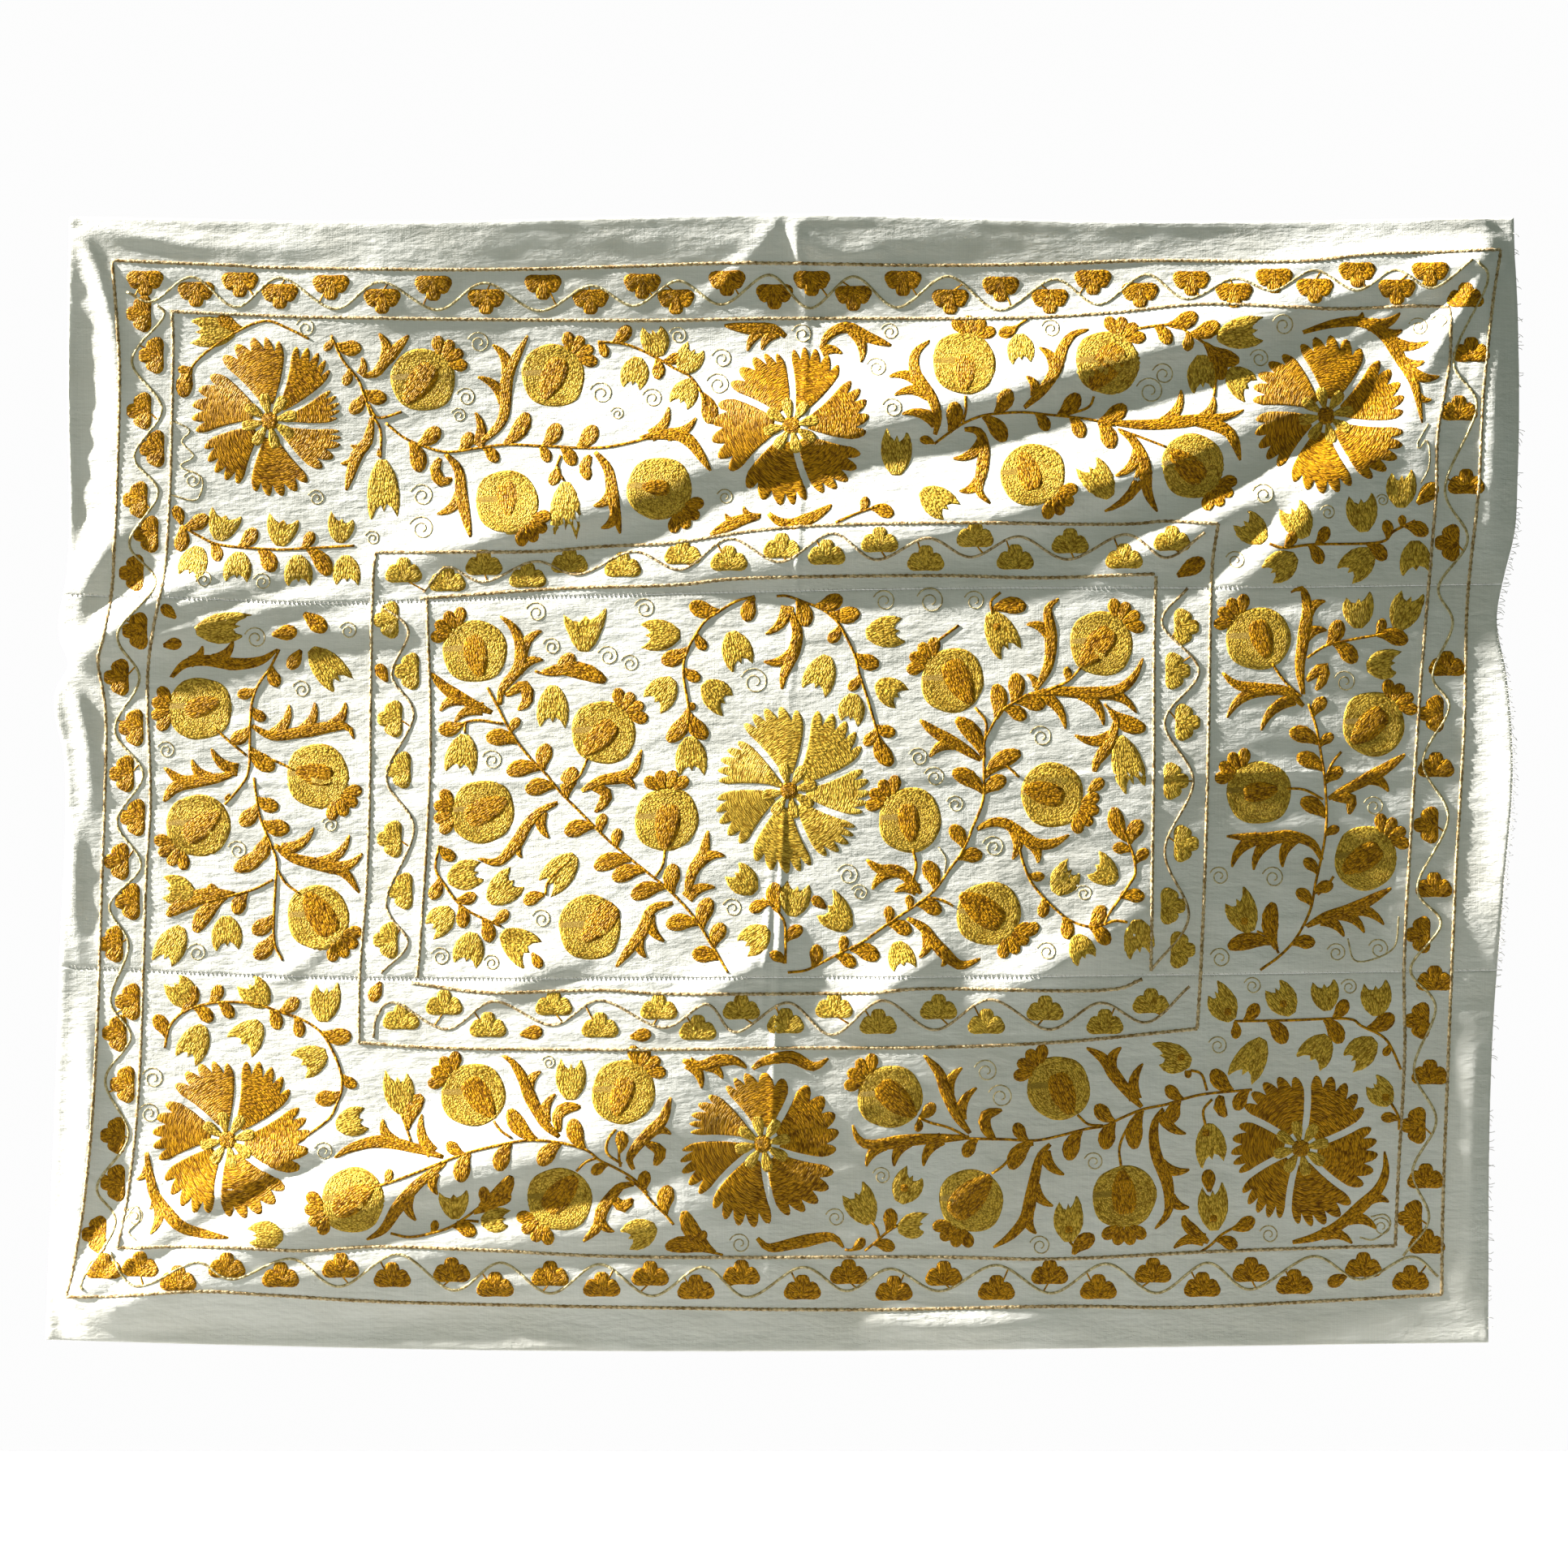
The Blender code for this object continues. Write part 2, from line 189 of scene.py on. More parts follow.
def fold_height(fold, across, down):
    """Height of one fold, in millimetres, at each place."""
    points = fold_curve(fold)
    nearest = np.full(across.shape, np.inf)
    along = np.zeros(across.shape)
    side = np.zeros(across.shape)
    for step in range(CURVE_STEPS):
        (x0, z0), (x1, z1) = points[step], points[step + 1]
        run_x, run_z = x1 - x0, z1 - z0
        length = np.hypot(run_x, run_z)
        share = np.clip(((across - x0) * run_x + (down - z0) * run_z) / length**2, 0.0, 1.0)
        away_x = across - (x0 + share * run_x)
        away_z = down - (z0 + share * run_z)
        distance = np.hypot(away_x, away_z)
        closer = distance < nearest
        facing = 1.0 if run_x - run_z > 0.0 else -1.0
        nearest = np.where(closer, distance, nearest)
        along = np.where(closer, (step + share) / CURVE_STEPS, along)
        side = np.where(closer, facing * (run_x * away_z - run_z * away_x), side)
    width = np.where(side > 0.0, fold.lower_width, fold.upper_width)
    rise = np.sin(np.pi * along ** (np.log(0.5) / np.log(fold.crest)))
    return fold.height * rise * np.exp(-((nearest / width) ** 2))


# How the creases of a fan vary: turn in degrees, bow, share of the reach and of the height, and two widths
FAN_TURN = (-2.5, 2.5)
FAN_BOW = (-1.2, 1.2)
FAN_REACH = (0.4, 1.0)
FAN_HEIGHT = (0.35, 1.0)
FAN_UPPER_WIDTH = (0.8, 1.5)
FAN_LOWER_WIDTH = (0.7, 1.2)
FAN_CREST = 0.35


def fan_folds(fan):
    """The thin creases of one fan, each with its own length, height and width."""
    source = np.random.RandomState(fan.seed)
    folds = []
    for turn in np.linspace(fan.first, fan.last, fan.count):
        way = heading(turn + source.uniform(*FAN_TURN))
        beside = np.array([-way[1], way[0]]) * source.uniform(*FAN_BOW)
        reach = fan.reach * source.uniform(*FAN_REACH)
        start = np.array(fan.centre) + way
        middle = start + way * reach / 2.0 + beside
        height = fan.height * source.uniform(*FAN_HEIGHT)
        widths = source.uniform(*FAN_UPPER_WIDTH), source.uniform(*FAN_LOWER_WIDTH)
        folds.append(Fold("thin ray", height, FAN_CREST, start, middle, start + way * reach, *widths))
    return folds


# The relief of the cloth is worked out once, on a fine map, and read from there. A fold is worked out as
# far as its reach, counted in its own widths. The edge keeps a reading inside the map's last cell.
MAP_PITCH = 0.35
MAP_REACH = 3.0
MAP_SIDE = 103.0
MAP_TOP = -2.0
MAP_FOOT = 158.0
MAP_EDGE = 1.001
map_across = np.arange(-MAP_SIDE, MAP_SIDE, MAP_PITCH)
map_down = np.arange(MAP_TOP, MAP_FOOT, MAP_PITCH)
SPARE_KNOTS = 4


def blend(before, here, after, beyond, share):
    """The smooth curve from here to after, at a share of the way."""
    bend = 3.0 * (here - after) + beyond - before
    arc = 2.0 * before - 5.0 * here + 4.0 * after - beyond
    return here + 0.5 * share * (after - before + share * (arc + share * bend))


def blend_rows(values, places):
    """The smooth curve through rows of values, read at places that are counted in rows."""
    index = places.astype(int)
    share = (places - index)[:, None]
    return blend(*(values[index + step] for step in range(4)), share)


def pucker_height(pucker):
    """Smooth random puckers over the whole map, in millimetres."""
    source = np.random.RandomState(pucker.seed)
    along = (map_across - map_across[0]) / pucker.across
    below = (map_down - map_down[0]) / pucker.down
    knots = source.uniform(-1.0, 1.0, (int(below[-1]) + SPARE_KNOTS, int(along[-1]) + SPARE_KNOTS))
    return pucker.height * blend_rows(blend_rows(knots.T, along).T, below)


def relief_map():
    """Height of the cloth towards the viewer, in metres, over the whole map."""
    height = np.zeros((len(map_down), len(map_across)))
    thin_rays = [fold for fan in FANS for fold in fan_folds(fan)]
    for fold in FOLDS + CREASES + thin_rays:
        reach = MAP_REACH * max(fold.upper_width, fold.lower_width)
        points = fold_curve(fold)
        near_across = np.abs(map_across - np.clip(map_across, points[:, 0].min(), points[:, 0].max()))
        near_down = np.abs(map_down - np.clip(map_down, points[:, 1].min(), points[:, 1].max()))
        columns = np.flatnonzero(near_across < reach)
        rows = np.flatnonzero(near_down < reach)
        window = np.ix_(rows, columns)
        across, down = np.meshgrid(map_across[columns], map_down[rows])
        height[window] += fold_height(fold, across, down)
    for pucker in PUCKERS:
        height += pucker_height(pucker)
    return height * MILLIMETRE


def read_map(values, across, down):
    """Bilinear reading of a map at each place."""
    column = np.clip((across - map_across[0]) / MAP_PITCH, 0.0, len(map_across) - MAP_EDGE)
    row = np.clip((down - map_down[0]) / MAP_PITCH, 0.0, len(map_down) - MAP_EDGE)
    left, top = column.astype(int), row.astype(int)
    right_share, low_share = column - left, row - top
    upper = values[top, left] * (1.0 - right_share) + values[top, left + 1] * right_share
    lower = values[top + 1, left] * (1.0 - right_share) + values[top + 1, left + 1] * right_share
    return upper * (1.0 - low_share) + lower * low_share


heights = relief_map()
heights -= read_map(heights, np.zeros(1), np.zeros(1))[0]


def face_y(across, down):
    """Y of the cloth's front face at each place, in metres."""
    return -read_map(heights, across, down)


def put(name, data):
    """An object with this data, placed in the scene."""
    item = bpy.data.objects.new(name, data)
    bpy.context.scene.collection.objects.link(item)
    return item


def make_mesh(name, points, faces, material, stitches=None):
    """A smooth mesh object from its points in metres, its four-cornered faces and its stitches' course."""
    mesh = bpy.data.meshes.new(name)
    mesh.vertices.add(len(points))
    mesh.vertices.foreach_set("co", points.astype(np.float32).ravel())
    mesh.loops.add(faces.size)
    mesh.loops.foreach_set("vertex_index", faces.astype(np.int32).ravel())
    mesh.polygons.add(len(faces))
    mesh.polygons.foreach_set("loop_start", np.arange(0, faces.size, 4, dtype=np.int32))
    if stitches is not None:
        layer = mesh.attributes.new("stitch", "FLOAT_VECTOR", "POINT")
        layer.data.foreach_set("vector", stitches.astype(np.float32).ravel())
    mesh.update(calc_edges=True)
    mesh.shade_smooth()
    mesh.materials.append(material)
    return put(name, mesh)


def grid_quads(index):
    """Four-cornered faces between the points of a grid."""
    corners = [index[:-1, :-1], index[1:, :-1], index[1:, 1:], index[:-1, 1:]]
    return np.stack(corners, axis=-1).reshape(-1, 4)


# Materials


def new_material(name):
    """A node material, its nodes and its shader."""
    material = bpy.data.materials.new(name)
    material.use_nodes = True
    nodes = material.node_tree.nodes
    return material, nodes, nodes["Principled BSDF"]


def set_inputs(node, values):
    """Set inputs of a node by name."""
    for name, value in values.items():
        node.inputs[name].default_value = value


def add_node(nodes, kind, settings=None, inputs=None):
    """A node with its settings and the values of its inputs."""
    node = nodes.new(kind)
    for name, value in (settings or {}).items():
        setattr(node, name, value)
    set_inputs(node, inputs or {})
    return node


def wire(source, output, target, socket):
    """A link from an output of one node to an input of another."""
    source.id_data.links.new(source.outputs[output], target.inputs[socket])


def colour_ramp(nodes, stops):
    """A colour ramp with the given places and colours."""
    ramp = nodes.new("ShaderNodeValToRGB")
    elements = ramp.color_ramp.elements
    while len(elements) < len(stops):
        elements.new(0.5)
    for element, (place, colour) in zip(elements, stops):
        element.position = place
        element.color = (*colour, 1.0)
    return ramp


COTTON_LIGHT = (0.86, 0.85, 0.80)
COTTON_DARK = (0.78, 0.76, 0.69)
THREADS_PER_METRE = 900.0
SLUBS_PER_METRE = 14.0
UPRIGHT_THREADS = (THREADS_PER_METRE, 1.0, SLUBS_PER_METRE)
LEVEL_THREADS = (SLUBS_PER_METRE, 1.0, THREADS_PER_METRE)


def cotton_material():
    """Hand-woven cotton: a plain weave with thick and thin threads, slubs and faint stains."""
    material, nodes, shader = new_material("cotton_cloth")
    gloss = {"Roughness": 0.93, "Specular IOR Level": 0.25, "Sheen Weight": 0.25, "Sheen Roughness": 0.5}
    set_inputs(shader, gloss)
    place = nodes.new("ShaderNodeTexCoord")

    stains = add_node(nodes, "ShaderNodeTexNoise", inputs={"Scale": 7.0, "Detail": 5.0, "Roughness": 0.6})
    tint = colour_ramp(nodes, [(0.30, COTTON_DARK), (0.62, COTTON_LIGHT)])
    wire(place, "Object", stains, "Vector")
    wire(stains, "Fac", tint, "Fac")

    weave = add_node(nodes, "ShaderNodeMath", {"operation": "ADD"})
    for number, stretch in enumerate((UPRIGHT_THREADS, LEVEL_THREADS)):
        mapping = add_node(nodes, "ShaderNodeMapping", inputs={"Scale": stretch})
        threads = add_node(nodes, "ShaderNodeTexNoise", inputs={"Scale": 1.0, "Detail": 2.0})
        wire(place, "Object", mapping, "Vector")
        wire(mapping, "Vector", threads, "Vector")
        wire(threads, "Fac", weave, number)

    squash = add_node(nodes, "ShaderNodeMapping", inputs={"Scale": (0.55, 1.0, 1.6)})
    crumple = add_node(nodes, "ShaderNodeTexNoise", inputs={"Scale": 55.0, "Detail": 4.0, "Roughness": 0.55})
    wire(place, "Object", squash, "Vector")
    wire(squash, "Vector", crumple, "Vector")

    coarse_bump = add_node(nodes, "ShaderNodeBump", inputs={"Strength": 1.0, "Distance": 0.0020})
    fine_bump = add_node(nodes, "ShaderNodeBump", inputs={"Strength": 0.30, "Distance": 0.0004})
    wire(crumple, "Fac", coarse_bump, "Height")
    wire(weave, "Value", fine_bump, "Height")
    wire(coarse_bump, "Normal", fine_bump, "Normal")
    wire(fine_bump, "Normal", shader, "Normal")

    multiply = {"data_type": "RGBA", "blend_type": "MULTIPLY"}
    slub = add_node(nodes, "ShaderNodeMix", multiply, {"Factor": 0.16})
    wire(tint, "Color", slub, "A")
    wire(weave, "Value", slub, "B")
    wire(slub, "Result", shader, "Base Color")
    return material


# How a silk looks: its two colours, and its gloss; the dark colour also stands as painted shade in the gaps
# between stitches
Silk = namedtuple("Silk", "name slot dark light roughness sheen")

SILKS = {
    "dark_gold": Silk("dark_gold", "dark_gold_silk", (0.13, 0.042, 0.0004), (0.70, 0.325, 0.006), 0.5, 0.0),
    "pale_gold": Silk("pale_gold", "pale_gold_silk", (0.24, 0.115, 0.004), (0.84, 0.55, 0.070), 0.5, 0.0),
    "cream": Silk("cream", "cream_silk", (0.34, 0.24, 0.09), (0.80, 0.68, 0.38), 0.5, 0.1),
    "brown": Silk("brown", "brown_cord", (0.22, 0.125, 0.040), (0.78, 0.60, 0.34), 0.6, 0.1),
    "thread": Silk("thread", "cotton", (0.66, 0.64, 0.57), (0.86, 0.85, 0.79), 0.8, 0.2),
}
STITCH_LENGTH = 0.52
STITCH_WIDTH = 0.22
WHITE = (1.0, 1.0, 1.0)
BLACK = (0.0, 0.0, 0.0)


def silk_material(silk):
    """Rows of short silk stitches that follow the motif, each a little darker or lighter, with painted shade
    between them.
    """
    material, nodes, shader = new_material(silk.name + "_silk")
    set_inputs(shader, {
        "Roughness": silk.roughness,
        "Sheen Weight": silk.sheen,
        "Sheen Roughness": 0.4,
        "Specular IOR Level": 0.38,
        "Specular Tint": (1.0, 0.74, 0.26, 1.0),
    })

    course = add_node(nodes, "ShaderNodeAttribute", {"attribute_name": "stitch"})
    stretch = (1.0 / STITCH_LENGTH, 1.0 / STITCH_WIDTH, 1.0)
    rows = add_node(nodes, "ShaderNodeMapping", inputs={"Scale": stretch})
    warp = add_node(nodes, "ShaderNodeTexNoise", inputs={"Scale": 1.1, "Detail": 2.0})
    shift = add_node(nodes, "ShaderNodeVectorMath", {"operation": "SCALE"}, {"Scale": 1.6})
    wavy = add_node(nodes, "ShaderNodeVectorMath", {"operation": "ADD"})
    wire(course, "Vector", rows, "Vector")
    wire(course, "Vector", warp, "Vector")
    wire(warp, "Color", shift, 0)
    wire(rows, "Vector", wavy, 0)
    wire(shift, "Vector", wavy, 1)

    # Painted shade: the silk is coloured darker in the gaps between stitches; the same pattern also gives
    # the stitches their bumped relief
    cells = add_node(nodes, "ShaderNodeTexVoronoi", {"feature": "F1"}, {"Scale": 1.0, "Randomness": 0.75})
    gap_shade_and_depth = colour_ramp(nodes, [(0.12, WHITE), (0.72, BLACK)])
    wire(wavy, "Vector", cells, "Vector")
    wire(cells, "Distance", gap_shade_and_depth, "Fac")

    combed = add_node(nodes, "ShaderNodeMapping", inputs={"Scale": (1.5, 16.0, 1.0)})
    strands = add_node(nodes, "ShaderNodeTexNoise", inputs={"Scale": 1.0, "Detail": 2.0})
    wire(course, "Vector", combed, "Vector")
    wire(combed, "Vector", strands, "Vector")

    patchy = add_node(nodes, "ShaderNodeTexNoise", inputs={"Scale": 1.2, "Detail": 4.0, "Roughness": 0.65})
    gap_shade_and_tone = add_node(nodes, "ShaderNodeMix", {"data_type": "FLOAT"}, {"Factor": 0.42})
    each = add_node(nodes, "ShaderNodeSeparateColor")
    gap_shade_and_variation = add_node(nodes, "ShaderNodeMix", {"data_type": "FLOAT"}, {"Factor": 0.30})
    colour = colour_ramp(nodes, [(0.22, silk.dark), (0.66, silk.light)])
    wire(course, "Vector", patchy, "Vector")
    wire(gap_shade_and_depth, "Color", gap_shade_and_tone, "A")
    wire(patchy, "Fac", gap_shade_and_tone, "B")
    wire(cells, "Color", each, "Color")
    wire(gap_shade_and_tone, "Result", gap_shade_and_variation, "A")
    wire(each, "Red", gap_shade_and_variation, "B")
    wire(gap_shade_and_variation, "Result", colour, "Fac")
    wire(colour, "Color", shader, "Base Color")

    stitch_bump = add_node(nodes, "ShaderNodeBump", inputs={"Strength": 0.8, "Distance": 0.0012})
    strand_bump = add_node(nodes, "ShaderNodeBump", inputs={"Strength": 0.4, "Distance": 0.0003})
    wire(gap_shade_and_depth, "Color", stitch_bump, "Height")
    wire(strands, "Fac", strand_bump, "Height")
    wire(stitch_bump, "Normal", strand_bump, "Normal")
    wire(strand_bump, "Normal", shader, "Normal")
    return material


# The cloth

Panel = namedtuple("Panel", "name node upper lower top_hem bottom_hem")

PANELS = [
    Panel("cloth_top", "panel_top", TOP_EDGE, UPPER_SEAM, True, False),
    Panel("cloth_middle", "panel_middle", UPPER_SEAM, LOWER_SEAM, False, False),
    Panel("cloth_bottom", "panel_bottom", LOWER_SEAM, BOTTOM_EDGE, False, True),
]

# Fine columns, counted from the left edge, and fine rows, counted from the top, carry the pressed creases
VERTICAL_CREASE = (94.0, 104.0)
LEVEL_CREASE = (75.8, 79.0)

# At a seam the cloth rolls back over a short way, and thins by a share of that drop
SEAM_ROLL = 0.35
SEAM_DROP = 1.0
ROLL_THINNING = 0.7
HEM_STITCH = 0.25
MARGIN = 2.2
MARGIN_MARKS = np.array([
    0.0, 0.4 * SEAM_ROLL, SEAM_ROLL, 2.0 * SEAM_ROLL, HEM_WIDTH - HEM_STITCH, HEM_WIDTH + HEM_STITCH, MARGIN,
])


def edge_profile(distance, hemmed):
    """How far the front face drops at the cloth's edge, in millimetres, by the distance from that edge."""
    rolled = SEAM_DROP * np.clip(1.0 - distance / SEAM_ROLL, 0.0, 1.0) ** 2
    if not hemmed:
        return rolled
    return rolled - HEM_RISE * 0.5 * (1.0 - np.tanh((distance - HEM_WIDTH) / HEM_STITCH))


def grid_marks(length, fine_start, fine_end):
    """Marks over a length: close ones at both ends, fine ones in one span and even ones elsewhere."""
    marks = [MARGIN]
    while marks[-1] < length - MARGIN:
        fine = fine_start <= marks[-1] < fine_end
        marks.append(marks[-1] + (FINE_PITCH if fine else CLOTH_PITCH))
    return np.concatenate([MARGIN_MARKS, marks[1:-1], length - MARGIN_MARKS[::-1]])


def sheet_faces(shape):
    """Faces of a closed sheet on a grid of this shape: its front, its back and its rim."""
    count = shape[0] * shape[1]
    index = np.arange(count).reshape(shape)
    quads = grid_quads(index)
    loop = np.concatenate([index[0, :], index[1:, -1], index[-1, -2::-1], index[-2:0:-1, 0]])
    after = np.roll(loop, -1)
    rim = np.stack([loop, after, after + count, loop + count], axis=1)
    return np.concatenate([quads, quads[:, ::-1] + count, rim])


def build_cloth(panel, material):
    """One width of cloth as a fine closed sheet."""
    high = edge_offset(panel.upper, np.zeros(1))[0]
    depth = edge_offset(panel.lower, np.zeros(1))[0] - high
    row_marks = grid_marks(depth, LEVEL_CREASE[0] - high, LEVEL_CREASE[1] - high)
    column_marks = grid_marks(CLOTH_WIDTH, *VERTICAL_CREASE)
    rows, columns = np.meshgrid(row_marks / depth, column_marks / CLOTH_WIDTH, indexing="ij")
    level = high + rows * depth
    left = edge_offset(LEFT_EDGE, level)
    across = left + columns * (edge_offset(RIGHT_EDGE, level) - left)
    upper = edge_offset(panel.upper, across) + SEAM_GAP / 2.0
    lower = edge_offset(panel.lower, across) - SEAM_GAP / 2.0
    down = upper + rows * (lower - upper)

    drop = edge_profile(columns * CLOTH_WIDTH, True)
    drop = drop + edge_profile((1.0 - columns) * CLOTH_WIDTH, False)
    drop = drop + edge_profile(rows * depth, panel.top_hem)
    drop = drop + edge_profile((1.0 - rows) * depth, panel.bottom_hem)
    front = face_y(across, down) + drop * MILLIMETRE
    back = front + (CLOTH_THICKNESS - ROLL_THINNING * np.maximum(drop, 0.0)) * MILLIMETRE

    x, z = across.ravel() * CENTIMETRE, -down.ravel() * CENTIMETRE
    points = np.concatenate([np.stack([x, face.ravel(), z], axis=1) for face in (front, back)])
    return make_mesh(panel.name, points, sheet_faces(across.shape), material)


# Needlework: padded patches, which show on both faces of the cloth, and cords on its front

# A patch is a little higher in its middle than near its edge, and its rim goes into the cloth
PATCH_LIFT = 0.55
BACK_SHARE = 0.45
RIM_DEPTH = 0.25
DOME_EDGE = 0.86
DOME_RISE = 0.20
STITCH_SEED_STEP = 7.3
EDGE_COLUMNS = [-1.0, -0.86, -0.40, 0.0, 0.40, 0.86, 1.0]
LEAF_ROWS = [0.0, 0.06, 0.18, 0.36, 0.54, 0.72, 0.88, 0.97, 1.0]
POINTED_LEAF = [0.24, 0.31, 0.50, 0.80, 1.0, 0.97, 0.72, 0.40, 0.14]
ROUND_LEAF = [0.22, 0.29, 0.44, 0.70, 0.93, 1.0, 0.86, 0.56, 0.30]
THORN = [1.0, 0.98, 0.93, 0.84, 0.71, 0.54, 0.34, 0.18, 0.10]

# A cord's middle lies a little inside the cloth. Its rise is in millimetres for a centimetre of radius.
CORD_SIDES = 6
CORD_RISE = 5.5
CORD_SEAT = 0.2
CORD_COURSE = 0.12
CORD_CAPS = [[0, 1, 2, 3], [0, 3, 4, 5]], [[3, 2, 1, 0], [5, 4, 3, 0]]
FEWEST_MARKS = 4
TWIST_SWELL = 0.18
SHORTEST_RUN = 1e-6

# The width of a motif grows with its length, between its least and its most
Fit = namedtuple("Fit", "share least most")
LEAF_FIT = Fit(0.64, 1.25, 2.5)
TOOTH_FIT = Fit(0.60, 1.3, 2.0)
CUP_FIT = Fit(0.41, 0.0, 2.1)


def fitted(fit, length):
    """The width that fits a length."""
    return min(fit.most, max(fit.least, fit.share * length))


def spot(place):
    """A place on the cloth as an array."""
    return np.array(place, dtype=float)


def smooth(places, pitch=0.4):
    """A smooth curve through places, with points at about the given pitch."""
    places = spot(places)
    padded = np.concatenate([2.0 * places[:1] - places[1:2], places, 2.0 * places[-1:] - places[-2:-1]])
    curve = []
    for before, start, end, beyond in zip(padded, padded[1:], padded[2:], padded[3:]):
        steps = max(2, int(np.hypot(*(end - start)) / pitch))
        share = np.linspace(0.0, 1.0, steps, endpoint=False)[:, None]
        curve.append(blend(before, start, end, beyond, share))
    return np.concatenate(curve + [places[-1:]])


def reach_along(line):
    """How far each point of a line lies from its start."""
    return np.concatenate([[0.0], np.cumsum(np.hypot(*np.diff(line, axis=0).T))])


def unit_runs(line):
    """The direction of a line at each of its points."""
    run = np.gradient(line, axis=0)
    return run / np.maximum(np.hypot(run[:, 0], run[:, 1]), SHORTEST_RUN)[:, None]


class Needlework:
    """Gathers the patches and cords of one piece, and makes one mesh of them."""

    def __init__(self, name, silk):
        self.name = name
        self.silk = silk
        self.points = []
        self.faces = []
        self.stitches = []
        self.count = 0

    def add(self, places, y, faces, course):
        """Take in points on the cloth with their faces and the course of their stitches."""
        self.points.append(np.stack([places[:, 0] * CENTIMETRE, y, -places[:, 1] * CENTIMETRE], axis=1))
        self.faces.append(faces + self.count)
        seed = np.full((len(places), 1), len(self.points) * STITCH_SEED_STEP)
        self.stitches.append(np.concatenate([course, seed], axis=1))
        self.count += len(places)

    def patch(self, places, course, lift=PATCH_LIFT):
        """A padded patch on a grid of places, rows by columns by coordinates, with its rim in the cloth."""
        rows, columns = places.shape[:2]
        inner = np.zeros((rows, columns), dtype=bool)
        inner[1:-1, 1:-1] = True
        row_share = np.linspace(-1.0, 1.0, rows)[:, None]
        column_share = np.linspace(-1.0, 1.0, columns)[None, :]
        dome = DOME_EDGE + DOME_RISE * (1.0 - row_share**2) * (1.0 - column_share**2)
        face = face_y(places[..., 0], places[..., 1])
        rise = np.where(inner, lift * dome, -RIM_DEPTH)
        front = face - rise * MILLIMETRE
        back = face + (CLOTH_THICKNESS + lift * dome * BACK_SHARE) * MILLIMETRE

        index = np.arange(rows * columns).reshape(rows, columns)
        under = index.copy()
        under[inner] = rows * columns + np.arange(inner.sum())
        faces = np.concatenate([grid_quads(index), grid_quads(under)[:, [0, 3, 2, 1]]])
        along_rows = places[1:, :-1] - places[:-1, :-1]
        along_columns = places[:-1, 1:] - places[:-1, :-1]
        turn = along_rows[..., 0] * along_columns[..., 1] - along_rows[..., 1] * along_columns[..., 0]
        if turn.sum() > 0.0:
            faces = faces[:, ::-1]
        self.add(
            np.concatenate([places.reshape(-1, 2), places[inner]]),
            np.concatenate([front.ravel(), back[inner]]),
            faces,
            np.concatenate([course.reshape(-1, 2), course[inner]]),
        )

    def cord(self, line, width, step=0.35, height=None, twist=None):
        """A raised cord on the cloth along a line; twist is the length of one turn of its strands."""
        line = spot(line)
        reach = reach_along(line)
        marks = np.linspace(0.0, reach[-1], max(FEWEST_MARKS, int(reach[-1] / step) + 1))
        centre = np.stack([np.interp(marks, reach, line[:, axis]) for axis in (0, 1)], axis=1)
        run = unit_runs(centre)

        angle = np.arange(CORD_SIDES) * 2.0 * math.pi / CORD_SIDES
        swell = 1.0
        if twist:
            swell = 1.0 + TWIST_SWELL * np.cos(2.0 * angle - 2.0 * math.pi * marks[:, None] / twist)
        radius = width / 2.0
        tall = radius * CORD_RISE if height is None else height
        sideways = radius * np.cos(angle) * swell
        across = centre[:, :1] - run[:, 1:] * sideways
        down = centre[:, 1:] + run[:, :1] * sideways
        y = face_y(across, down) + (CORD_SEAT - tall * np.sin(angle) * swell) * MILLIMETRE

        index = np.arange(len(marks) * CORD_SIDES).reshape(len(marks), CORD_SIDES)
        after = np.roll(index, -1, axis=1)
        tube = np.stack([index[:-1], index[1:], after[1:], after[:-1]], axis=-1).reshape(-1, 4)
        caps = [ring[CORD_CAPS[end]] for end, ring in enumerate((index[0], index[-1]))]
        course = np.stack(np.broadcast_arrays(marks[:, None], np.arange(CORD_SIDES) * CORD_COURSE), axis=-1)
        places = np.stack([across, down], axis=-1)
        self.add(places.reshape(-1, 2), y.ravel(), np.concatenate([tube, *caps]), course.reshape(-1, 2))

    def ribbon(self, line, widths, lift=PATCH_LIFT):
        """A padded band along a line; widths has one value for each point of the line."""
        run = unit_runs(line)
        beside = np.stack([-run[:, 1], run[:, 0]], axis=1)
        offsets = widths[:, None] / 2.0 * np.array(EDGE_COLUMNS)
        places = line[:, None, :] + beside[:, None, :] * offsets[..., None]
        course = np.stack(np.broadcast_arrays(reach_along(line)[:, None], offsets), axis=-1)
        self.patch(places, course, lift)

    def leaf(self, root, tip, width=None, bend=0.0, lift=PATCH_LIFT, shape=POINTED_LEAF):
        """A drop-shaped leaf with a narrow root; shape is its share of the width at each row."""
        root, tip = spot(root), spot(tip)
        if width is None:
            width = fitted(LEAF_FIT, np.hypot(*(tip - root)))
        share = np.array(LEAF_ROWS)[:, None]
        beside = np.array([-(tip - root)[1], (tip - root)[0]]) * bend
        line = root + (tip - root) * share + beside * 4.0 * share * (1.0 - share)
        self.ribbon(line, np.array(shape) * width, lift)

    def finish(self, material):
        """Make the mesh object with its material, and set the body it rides on."""
        layer = np.concatenate(self.stitches)
        item = make_mesh(self.name, np.concatenate(self.points), np.concatenate(self.faces), material, layer)
        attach(item, "root")
        return item


pieces = {}
UPPER_JOIN = 52.0
LOWER_JOIN = 103.8


def sew(silk, down):
    """The needlework of one silk on the width of cloth at this place."""
    width = "top" if down < UPPER_JOIN else "middle" if down < LOWER_JOIN else "bottom"
    if (silk, width) not in pieces:
        pieces[silk, width] = Needlework(silk + "_" + width, SILKS[silk])
    return pieces[silk, width]


